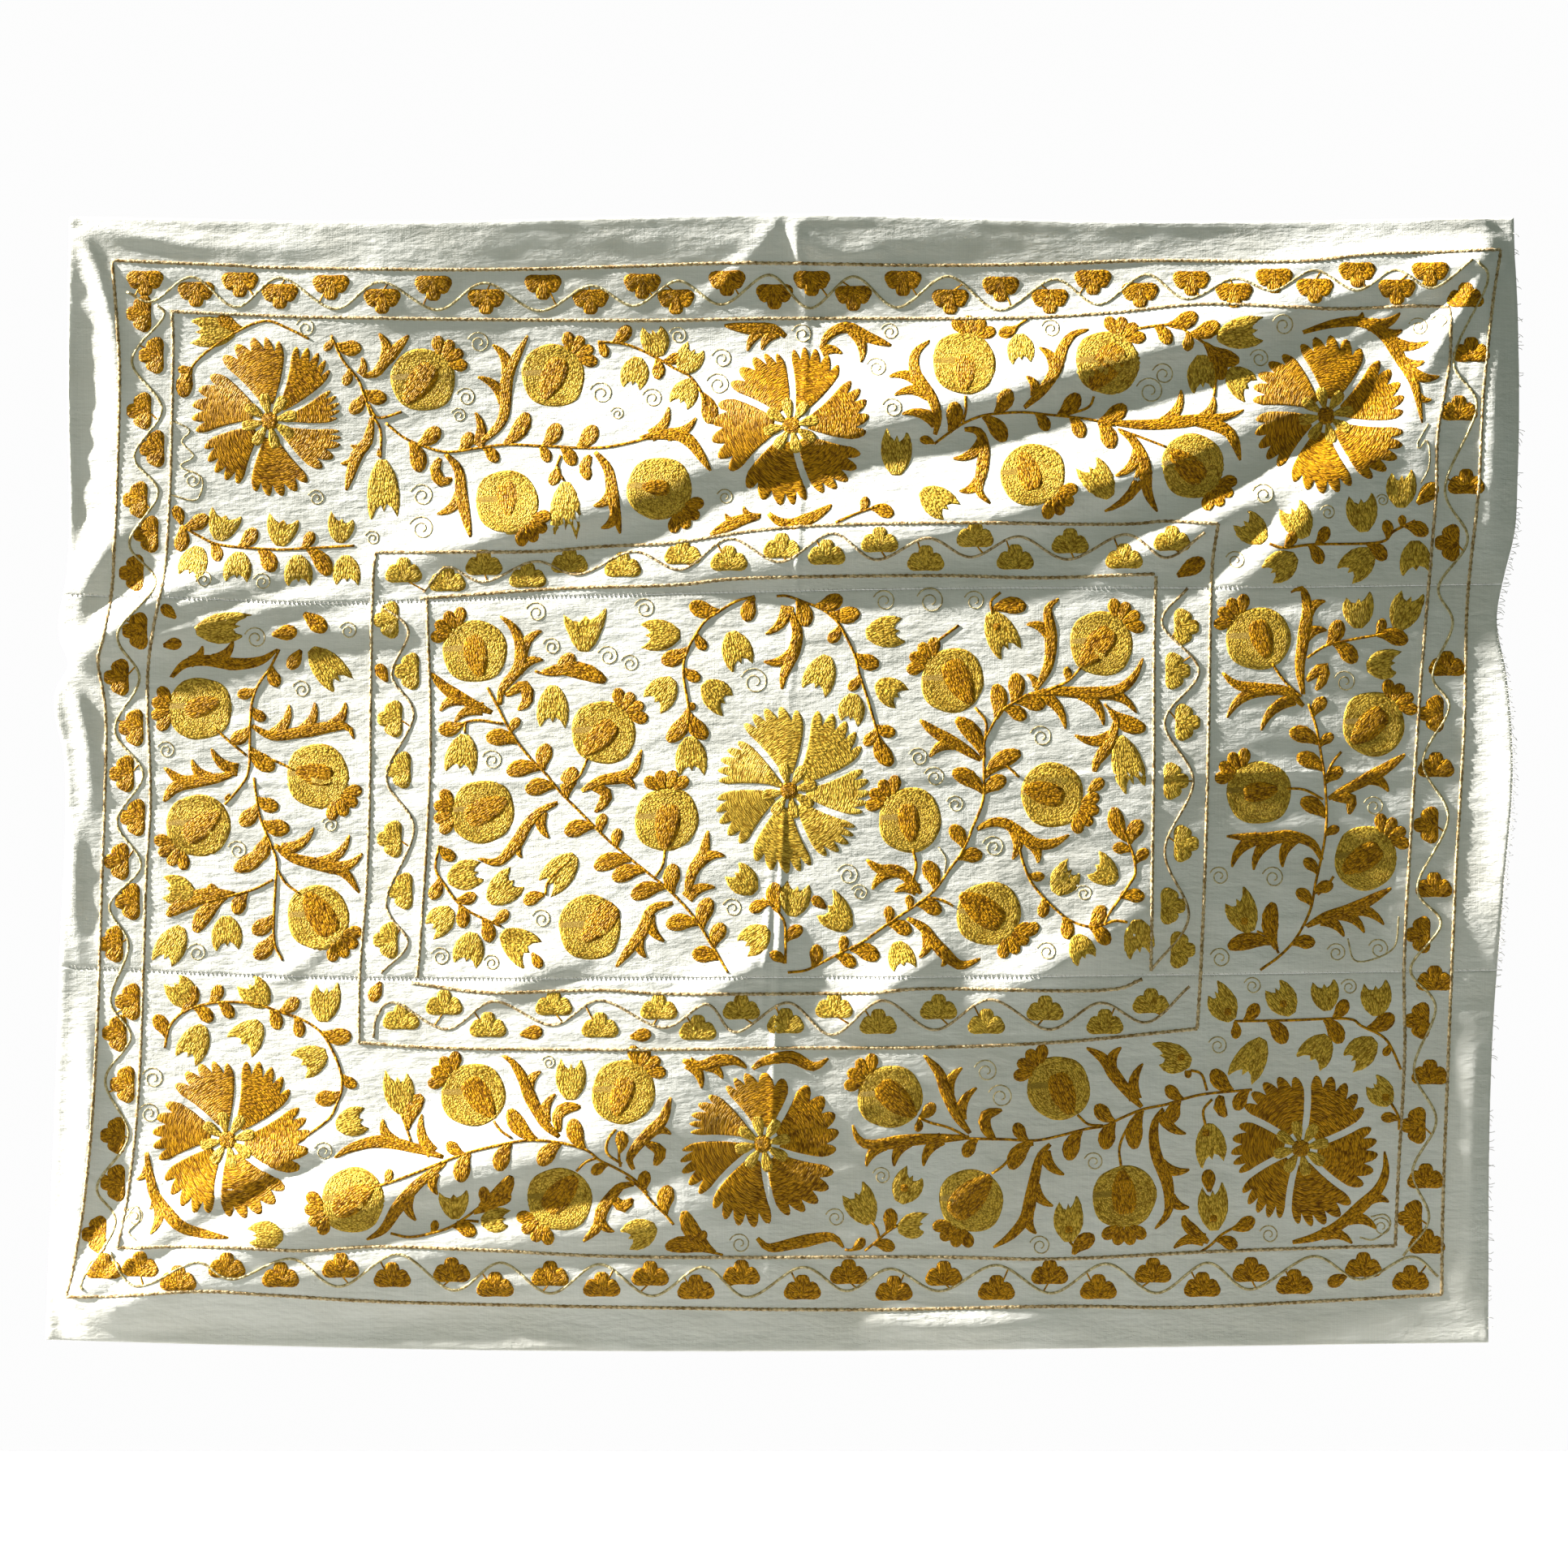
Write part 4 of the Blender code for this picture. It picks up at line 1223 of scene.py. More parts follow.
# Single leaves between the trefoils, from root to tip
SMALL_LEAVES = [
    [(-54.2, 64), (-55.6, 61.5)],
    [(-36, 112), (-32.8, 111.5)],
    [(-21, 112.3), (-18, 111.8)],
    [(-55, 104.8), (-56.3, 107.6)],
    [(53.5, 49.6), (57.3, 47.3)],
    [(77.3, 145.3), (74.6, 146.6)],
    [(-83, 55.3), (-85, 53.5)],
    [(-85, 59), (-82.3, 58.6)],
    [(-70, 57.5), (-66.5, 57)],
    [(-65.7, 54.5), (-62.5, 57)],
    [(-66, 59.5), (-67.7, 62.2)],
    [(5.8, 94.8), (3.8, 93.3)],
    [(-34.3, 100.8), (-33, 102.9)],
    [(86.2, 39.8), (89, 37)],
    [(41.3, 79), (43.5, 77.3)],
    [(32.3, 98.7), (34.6, 96.9)],
    [(58.2, 133.8), (58, 130.6)],
]

# Petals are given by their direction in degrees and how far they reach
ROSETTES = [
    Rosette((-70.4, 28.2), "dark_gold",
            [(90, 11.8), (43, 11.6), (5, 10.0), (-28, 10.4), (-90, 10.6), (-146, 10.4), (158, 11.0)]),
    Rosette((1.0, 29.0), "dark_gold",
            [(108, 11.0), (62, 11.4), (8, 11.0), (-55, 11.0), (-108, 11.2), (180, 11.2)]),
    Rosette((74.0, 27.6), "dark_gold",
            [(138, 11.0), (76, 11.2), (13, 11.2), (-43, 11.4), (-104, 11.0), (-164, 10.4)]),
    Rosette((0.7, 78.8), "pale_gold",
            [(95, 11.8), (38, 12.4), (-12, 11.2), (-52, 11.0), (-102, 11.4), (195, 10.6), (146, 10.4)]),
    Rosette((-76.0, 126.5), "dark_gold",
            [(100, 11.2), (47, 11.8), (-5, 11.6), (-75, 11.2), (-135, 11.0), (165, 10.6)]),
    Rosette((-2.9, 126.8), "dark_gold",
            [(95, 10.0), (12, 10.8), (-58, 11.2), (-118, 11.8), (188, 11.8), (148, 10.6)]),
    Rosette((70.8, 127.8), "dark_gold",
            [(110, 10.6), (45, 11.0), (-15, 10.8), (-83, 11.2), (-134, 10.8), (175, 9.8)]),
]

POMEGRANATES = [Pomegranate(*row) for row in [
    ((-49.4, 22.6), (-52, 26), (-48, 20.5), UP_RIGHT),
    ((-31.6, 22.0), (-33, 25.5), (-30.5, 19.5), UP_RIGHT),
    ((-37.8, 39.4), (-37.5, 41.5), (-38, 36.5), LOW_RIGHT),
    ((-17.0, 37.6), (-19.5, 37.3), (-15.5, 37.7), LOW_RIGHT),
    ((24.6, 20.4), (24.6, 24.6), (24.7, 19), 75),
    ((44.1, 20.4), (41.8, 24.2), (45.8, 18), 62),
    ((33.9, 35.8), (32.4, 32.3), (34.1, 38), LOW_RIGHT),
    ((55.7, 34.6), (52.4, 32.4), (57.2, 36.6), LOW_RIGHT),
    ((-79.9, 67.6), (-77, 66.5), (-82, 68), LEFT),
    ((-63.7, 76.8), (-67, 76), (-61.5, 77), LOW_RIGHT),
    ((-80.1, 83.6), (-77, 81.5), (-82, 85.5), LOW_LEFT),
    ((-63.6, 96.1), (-65.5, 92.5), (-61.5, 98.5), LOW_RIGHT),
    ((-42.2, 59.8), (-41.3, 63.5), (-42.7, 57.5), UP_LEFT),
    ((-24.6, 70.9), (-27.5, 74), (-23, 69.5), UP_RIGHT),
    ((-41.1, 81.7), (-37.5, 80), (-43.5, 82.7), LEFT),
    ((-16.0, 82.7), (-16.3, 87), (-15.5, 80.5), UP),
    ((-26.4, 97.4), (-27.5, 99.5), (-23, 94.3), None),
    ((22.9, 63.8), (25.6, 67.2), (22.4, 61), 140),
    ((17.1, 82.8), (17.5, 86), (16.6, 80.5), UP_LEFT),
    ((43.2, 58.8), (40.2, 62), (44.7, 56.8), 48),
    ((36.5, 79.4), (32.4, 78.3), (38.2, 79.9), -28),
    ((27.8, 95.5), (23.8, 92.8), (29.8, 97), LOW_RIGHT),
    ((64.6, 58.1), (66, 61), (64.3, 55.5), UP_LEFT),
    ((80.4, 69.7), (77.3, 72.5), (82, 67.8), UP_RIGHT),
    ((64.7, 79.1), (67.5, 78.5), (62.5, 79.3), UP_LEFT),
    ((79.4, 88.0), (76, 90), (81.5, 86.5), UP_RIGHT),
    ((-42.3, 120.2), (-39.4, 123.4), (-43.2, 118), 140),
    ((-21.8, 119.7), (-23, 123.2), (-21.2, 117.6), 52),
    ((-58.6, 134.5), (-55.6, 132.5), (-61.3, 136.1), -160),
    ((-30.5, 134.3), (-28, 131), (-32.4, 136), -130),
    ((14.4, 120.4), (18, 123.2), (12.8, 118.6), 140),
    ((37.4, 119.3), (39.2, 123.2), (37, 117.2), 138),
    ((25.5, 134.7), (28.3, 131.2), (22.8, 136.8), -118),
    ((46.5, 134.3), (46.1, 130.4), (46.7, 136.8), LOW),
]]

# Stems: the line each one follows in the way it grows, then the tips of its leaves
STEMS = [Stem(*row) for row in [
    # Top border, left
    ([(-65, 17), (-68, 15.5), (-71, 14.5), (-75, 16), (-80, 19.5), (-82, 22.5)],
     [(-77.5, 13.8), (-83, 21), (-82, 25)]),
    ([(-62, 16.5), (-60.3, 20), (-58.3, 22.5), (-57.5, 24.5), (-56.5, 27.5)],
     [(-57.8, 18), (-63, 18.5), (-60.3, 23.3), (-54.3, 25), (-59.5, 27)]),
    ([(-56.8, 26), (-55.5, 27.8), (-52.3, 27)], []),
    ([(-54.5, 28.5), (-52, 30.5), (-49, 31.8), (-46, 32.5), (-42, 32), (-38, 31.5), (-33, 31.7), (-26, 32),
      (-22, 31.5), (-18, 30.5)],
     [(-47.3, 29), (-50, 35.3), (-43, 29.7), (-39.3, 34), (-31, 28.5), (-32.3, 34), (-26, 28.8),
      (-28.8, 34.5), (-35.2, 27)]),
    ([(-56.3, 27.5), (-55.2, 29.5), (-55.2, 33.3)], [(-55.7, 32.5)]),
    ([(-25.5, 17.3), (-21.5, 17.7), (-17.5, 19.5), (-15, 21), (-13, 22), (-11.5, 24), (-10.7, 26)],
     [(-21.3, 15), (-24.5, 19.5), (-10.2, 28.8), (-17.5, 22.5), (-14.2, 19)]),
    ([(-30.5, 33), (-31, 34.8), (-30, 36.5)], [(-32, 37)]),
    ([(7, 42.3), (10, 41), (13, 40)], [(11, 38.7), (14.8, 41.5)]),
    # Top border, right
    ([(20.5, 31.5), (22.5, 30), (24.5, 28.7), (27, 27.7), (30, 27.3), (33, 27.2), (36, 27.5), (39, 27.8),
      (42, 28.2), (45, 29)],
     [(30.5, 24), (40, 24.5), (30, 31.3), (35.8, 29.8), (40.5, 30.8), (46.5, 26), (44.5, 32.3), (23, 25.8),
      (18.5, 31)]),
    ([(24.7, 25), (24.8, 26.8), (24.4, 28.6)], []),
    ([(45.5, 29.5), (49, 30.8), (52, 32)], []),
    ([(42.3, 25), (41.5, 26.5), (38, 27.7)], []),
    ([(48.3, 15.7), (51, 15.3), (53.5, 15.2), (55, 16.2), (57, 17.5), (59.5, 19)],
     [(52.5, 18), (56.3, 13.5), (54.8, 18.8), (59.3, 14.8), (62.3, 20), (59.7, 22.8)]),
    ([(33.3, 14.3), (32, 15.2), (31.3, 16.3)], [(29.3, 16.2)]),
    ([(58.5, 19.5), (59, 22), (58.7, 25)], []),
    # Left border
    ([(-82.5, 42.5), (-80, 44), (-77, 45.2), (-70, 45.8), (-66, 45.7), (-58.8, 45.3)],
     [(-79, 41), (-83, 46), (-77.5, 47.5), (-72.5, 42.8), (-70, 49), (-64.7, 43.3), (-62.3, 49.5),
      (-83.7, 40)]),
    ([(-69, 59.5), (-70.3, 62), (-72, 64.5), (-72.8, 67), (-73, 70), (-73.2, 76), (-74.5, 78.5),
      (-76.5, 80.7)],
     [(-69, 64.5), (-74.8, 65.5), (-70.8, 69), (-75.7, 72), (-69.5, 75.7), (-76.3, 79.5)]),
    ([(-72.5, 77), (-71.7, 82), (-71, 84), (-70, 86.5), (-69.3, 88.5), (-69.5, 92), (-69.7, 99),
      (-68.5, 102)],
     [(-69, 81), (-74.5, 83.3), (-67.5, 83.8), (-72.5, 88.3), (-75.3, 89.5), (-72.8, 98), (-72.5, 101.5)]),
    ([(-69.8, 91), (-73, 92.5), (-79, 94)], [(-78.5, 91.5), (-74.7, 95.8), (-84.5, 96), (-80.5, 98.3)]),
    ([(-73.5, 74), (-76.5, 71.5), (-78, 70)], []),
    ([(-73, 73.5), (-69, 75), (-67, 76)], []),
    ([(-66, 93), (-68, 91.5), (-69.3, 89.5)], []),
    # Lower left corner
    ([(-84.7, 114), (-84, 111), (-82, 109), (-79, 108), (-76, 107.7), (-72, 108), (-69, 109), (-66, 110),
      (-63.5, 111.5), (-62, 113.5), (-60.5, 117), (-60.3, 119.5), (-61, 121.5), (-62, 123.5), (-65, 125.8)],
     [(-86.3, 109.7), (-81, 105.3), (-77.2, 105.3), (-78.3, 110.5), (-75.5, 110), (-66.5, 107),
      (-69.3, 111.5), (-66.3, 112.5), (-59, 112), (-58.2, 119), (-64, 120.7)]),
    # Middle field, left
    ([(-7.6, 103.5), (-8.5, 102), (-10, 99.5), (-11.5, 97), (-13.5, 94.5), (-16, 92), (-18.5, 90),
      (-21, 88), (-24, 85.5), (-26, 83.5), (-28, 81.5), (-30.5, 79), (-32.5, 76.5), (-34.5, 74.5),
      (-36.5, 72), (-38, 69.5), (-39, 67.5), (-40.5, 64.7)],
     [(-36, 69), (-40.7, 71.8), (-32, 72.5), (-37.8, 76.5), (-28.3, 75.7), (-35.2, 79), (-29.8, 84.8),
      (-24.3, 82), (-22.3, 84), (-25.8, 89.5), (-23.3, 91), (-14.7, 88.8), (-20.7, 93.5), (-9.8, 93.5),
      (-8, 97), (-16, 97.3), (-12.5, 101.3)]),
    ([(-34, 62.5), (-32, 63), (-29.5, 62.8)], [(-29, 60), (-24.2, 64)]),
    ([(-38.3, 69.7), (-42, 69.2), (-45, 70)], [(-47.2, 70.3)]),
    ([(-43.4, 69.5), (-43.6, 70.4), (-43.5, 71)], []),
    ([(-47, 86.3), (-47.5, 89.5), (-46, 92), (-44.5, 94), (-42.5, 95.5), (-38.5, 97.3)],
     [(-44.7, 88), (-48.3, 93.5), (-42, 92.8), (-44, 97.5), (-37.7, 95), (-40.3, 99.5)]),
    ([(-32.5, 93), (-32, 91), (-29, 88)], [(-35.3, 94.3)]),
    ([(-26.8, 74.5), (-28, 77), (-30, 78.5)], []),
    ([(-16.2, 86.8), (-16.5, 89), (-17.5, 90.5)], []),
    # Middle field, centre
    ([(-4, 52.3), (-6.5, 53), (-9, 54.5), (-11, 56), (-13.3, 60), (-13.7, 63), (-13, 67.5), (-13.2, 70)],
     [(-12.8, 53.2), (-4.8, 55.8), (-10.5, 59.5), (-16.8, 61), (-11.3, 63.5), (-12, 67.5), (-16, 72),
      (-10.3, 71.5)]),
    ([(-1, 52.3), (0.5, 52.3), (3, 53.2), (5, 54), (7, 55.5), (8.3, 57.5), (9.7, 60.5), (10.3, 63),
      (11.3, 66), (12.3, 69.5), (13.2, 73)],
     [(7.8, 52.2), (2.8, 56.5), (6, 58.5), (10.3, 54.3), (13, 61.5), (8.7, 65), (10.8, 72.5), (15.2, 70.8),
      (14.8, 75.3)]),
    ([(0.2, 102.3), (0.2, 99), (0, 96.5), (-1.5, 94.5), (-3, 93.5)],
     [(-1, 91.3), (-4.6, 95.3), (2.6, 97.5), (-2, 101)]),
    # Middle field, right
    ([(0.5, 103.5), (3, 103.2), (5.5, 102), (8, 100.7), (10.5, 99.5), (13, 97.7), (15.5, 96), (18, 94.3),
      (20.5, 92.3), (22.5, 89.5), (24, 87.5), (25, 85.5), (25.7, 83.7), (27, 80.5), (27.2, 78), (27.2, 75),
      (27.3, 72), (28.3, 70), (29.5, 68), (31, 67), (33, 65.8)],
     [(4.2, 99.7), (8, 98.5), (9.6, 102.8), (12.8, 101.8), (14, 94.5), (17.2, 98.3), (16.8, 93),
      (21.3, 95.5), (19, 88.5), (22.5, 83.7), (27, 87.8), (22.8, 76.3), (30.3, 77.3), (32.3, 73.7),
      (23.3, 69), (28.7, 64.3), (32.8, 69.2), (31.3, 62.8), (35.5, 67.5)]),
    ([(27.3, 72), (27.5, 69.5), (26, 67.5)], []),
    ([(36, 65), (38.5, 64), (40.5, 62)], [(38.3, 62)]),
    ([(19.5, 93.3), (21.5, 93.7), (23, 94.5)], []),
    ([(27.5, 76), (30, 75.4), (32, 77)], []),
    ([(17.5, 86.8), (18, 89), (17.5, 91)], []),
    ([(43.6, 67), (45.3, 69), (45.3, 71)], [(49.3, 70.3)]),
    ([(28.4, 54.6), (28.2, 53), (29.5, 51.8)], [(33, 54)]),
    ([(20.5, 58.7), (22, 57.6), (23.8, 56.3)], []),
    ([(32, 86.5), (32.5, 88.5), (33.5, 91), (35, 93), (37, 95), (39, 96.5), (41.5, 97.3), (43.5, 97)],
     [(35.4, 90.3), (34.8, 96), (43.2, 94.3), (38.3, 99), (44, 99.8)]),
    ([(43.5, 97), (44.2, 95.5), (46, 93), (47, 91.5), (47.8, 90), (47.5, 87.5), (46.5, 85), (46, 84)],
     [(45.8, 92.8), (49, 93.5), (44.7, 86.8), (49.7, 87), (48.8, 83), (45, 81)]),
    ([(43.5, 97), (45, 96.5), (46.7, 96.7)], []),
    # Right border
    ([(66, 45.2), (68, 45.8), (72, 45.3), (81, 45), (83, 43.5), (86, 42)],
     [(73.8, 42.8), (73, 48), (81.8, 42), (81.8, 47.5), (87.7, 44), (84, 41.3), (69.3, 43.5)]),
    ([(65, 103.3), (67.5, 101.5), (69.5, 99.5), (71, 97), (72, 94.5), (72.5, 91.5), (73.3, 88), (73.8, 85),
      (74, 82), (73.7, 77), (73, 72.5), (72.5, 70), (71.5, 67)],
     [(74, 66.3), (68.8, 71), (75, 71.3), (69.8, 74.3), (76.3, 76), (70.3, 80.3), (75.8, 84), (70.8, 88.3),
      (75, 91.8), (69.8, 92.5), (72.5, 99.8)]),
    ([(71.3, 60.7), (74, 59), (77, 58.3), (82.5, 57.3)],
     [(75.5, 55.5), (77.8, 61.5), (81.5, 55.3), (85, 58.7)]),
    ([(76, 73.5), (74.8, 75), (73.8, 77)], []),
    ([(68.5, 78.5), (71, 78.7), (73.5, 80)], []),
    ([(75, 90.5), (74, 92), (72.8, 93)], []),
    ([(66.5, 61.5), (68.3, 64), (70.5, 66)], []),
    ([(67.5, 101), (66.5, 99), (64.5, 98)], [(66.8, 94), (60.5, 100.3)]),
    ([(61.5, 110.3), (69, 110.2), (77, 110), (79, 111), (82, 112.5), (83.3, 114.3), (84.5, 117)],
     [(64.5, 107.8), (61.5, 112.7), (68.3, 113.5), (76.7, 107.3), (76, 113.5), (83.3, 109.3), (82, 115)]),
    ([(84.3, 125.3), (84.2, 123.5), (83.2, 121.7)], [(81.8, 123.8)]),
    # Bottom border, left
    ([(-57, 133), (-53.5, 132), (-50, 130.7), (-46.5, 129.3)], [(-53.7, 130.2)]),
    ([(-18.5, 133.5), (-20.5, 131.5), (-23, 130), (-25, 129), (-27, 127.5), (-31, 126.5), (-35, 126.3),
      (-39, 127), (-43, 128), (-46.5, 129.3)],
     [(-45.7, 126.5), (-43.7, 132), (-37.3, 122), (-38.5, 130.5), (-28.5, 123.3), (-33, 129.8),
      (-26, 131)]),
    ([(-22.2, 129.9), (-22.4, 128.5), (-22.3, 127)], [(-22.3, 125)]),
    ([(-39.5, 123.7), (-38.5, 125), (-37, 126)], []),
    ([(-25.5, 128.7), (-27, 129.3), (-28.2, 130.5)], []),
    ([(-22, 129.5), (-24, 128), (-23.8, 126), (-22.8, 124.8)], []),
    ([(-15, 137.8), (-16, 136.5), (-17.8, 134.8), (-19.5, 132.8), (-21.5, 131.3)],
     [(-18.5, 130.5), (-15.4, 132.5)]),
    ([(-8.3, 142), (-10.5, 141.3), (-12, 140)], [(-13.6, 135.8), (-16.2, 141), (-10.6, 138.7)]),
    ([(-53.5, 139), (-51, 139.5), (-48, 139), (-45.5, 138.2), (-43.5, 137), (-41.5, 135.5), (-40, 134.3)],
     [(-47.5, 137.2), (-42, 139.3), (-37, 134.2), (-41, 132.6), (-37, 131)]),
    ([(-44.5, 137.5), (-43, 137.3), (-41.5, 137.4)], []),
    ([(-50.8, 126.5), (-51.7, 124), (-52.2, 122.8)], [(-49.2, 120.3)]),
    # Bottom border, right
    ([(64, 119.7), (58, 120.2), (55, 120.8), (52, 121.7), (49, 122.3), (46, 123.5), (44, 124.5), (41, 125),
      (37, 126), (34, 126.5), (30, 126.3), (26, 126.2), (22, 126)],
     [(24.8, 128.8), (31.7, 124), (31, 130.5), (39, 129.3), (42.7, 121.5), (44, 127.8), (48, 127.8),
      (52.3, 119), (53, 124.3), (58.7, 116.8), (62, 122.6)]),
    ([(34, 127), (31.5, 128), (30, 129.8), (28.3, 131)], []),
    ([(48.5, 123.3), (46.8, 125), (45.8, 127.5), (46, 130)], []),
    ([(40, 123), (41.5, 124.3), (43.5, 124.5)], []),
    ([(55.5, 117), (57, 117.5), (57.8, 119.8)], [(54.7, 117.7)]),
    ([(58.5, 121), (57.3, 122.5), (57.6, 124.5)], []),
    ([(39.5, 142.2), (39.6, 141.2), (39, 140.4)], [(42.5, 139.8)]),
    ([(57, 142), (58.5, 141), (59.7, 139.8), (61, 139), (62.5, 138.3)], [(64.3, 137.2), (62, 141.5)]),
    ([(11, 141.5), (12.5, 140.3), (14, 139), (15.5, 138)], [(15, 141.4), (14.2, 135.7)]),
    ([(13, 139.8), (12.6, 138.4), (11.9, 137.6)], []),
    ([(18.3, 123.3), (20, 124), (22.5, 124.7), (25, 126)], [(20.3, 121.2), (18, 125.2)]),
    ([(8.3, 141.3), (9.2, 141.4), (10, 141)], [(10.8, 139.7)]),
]]

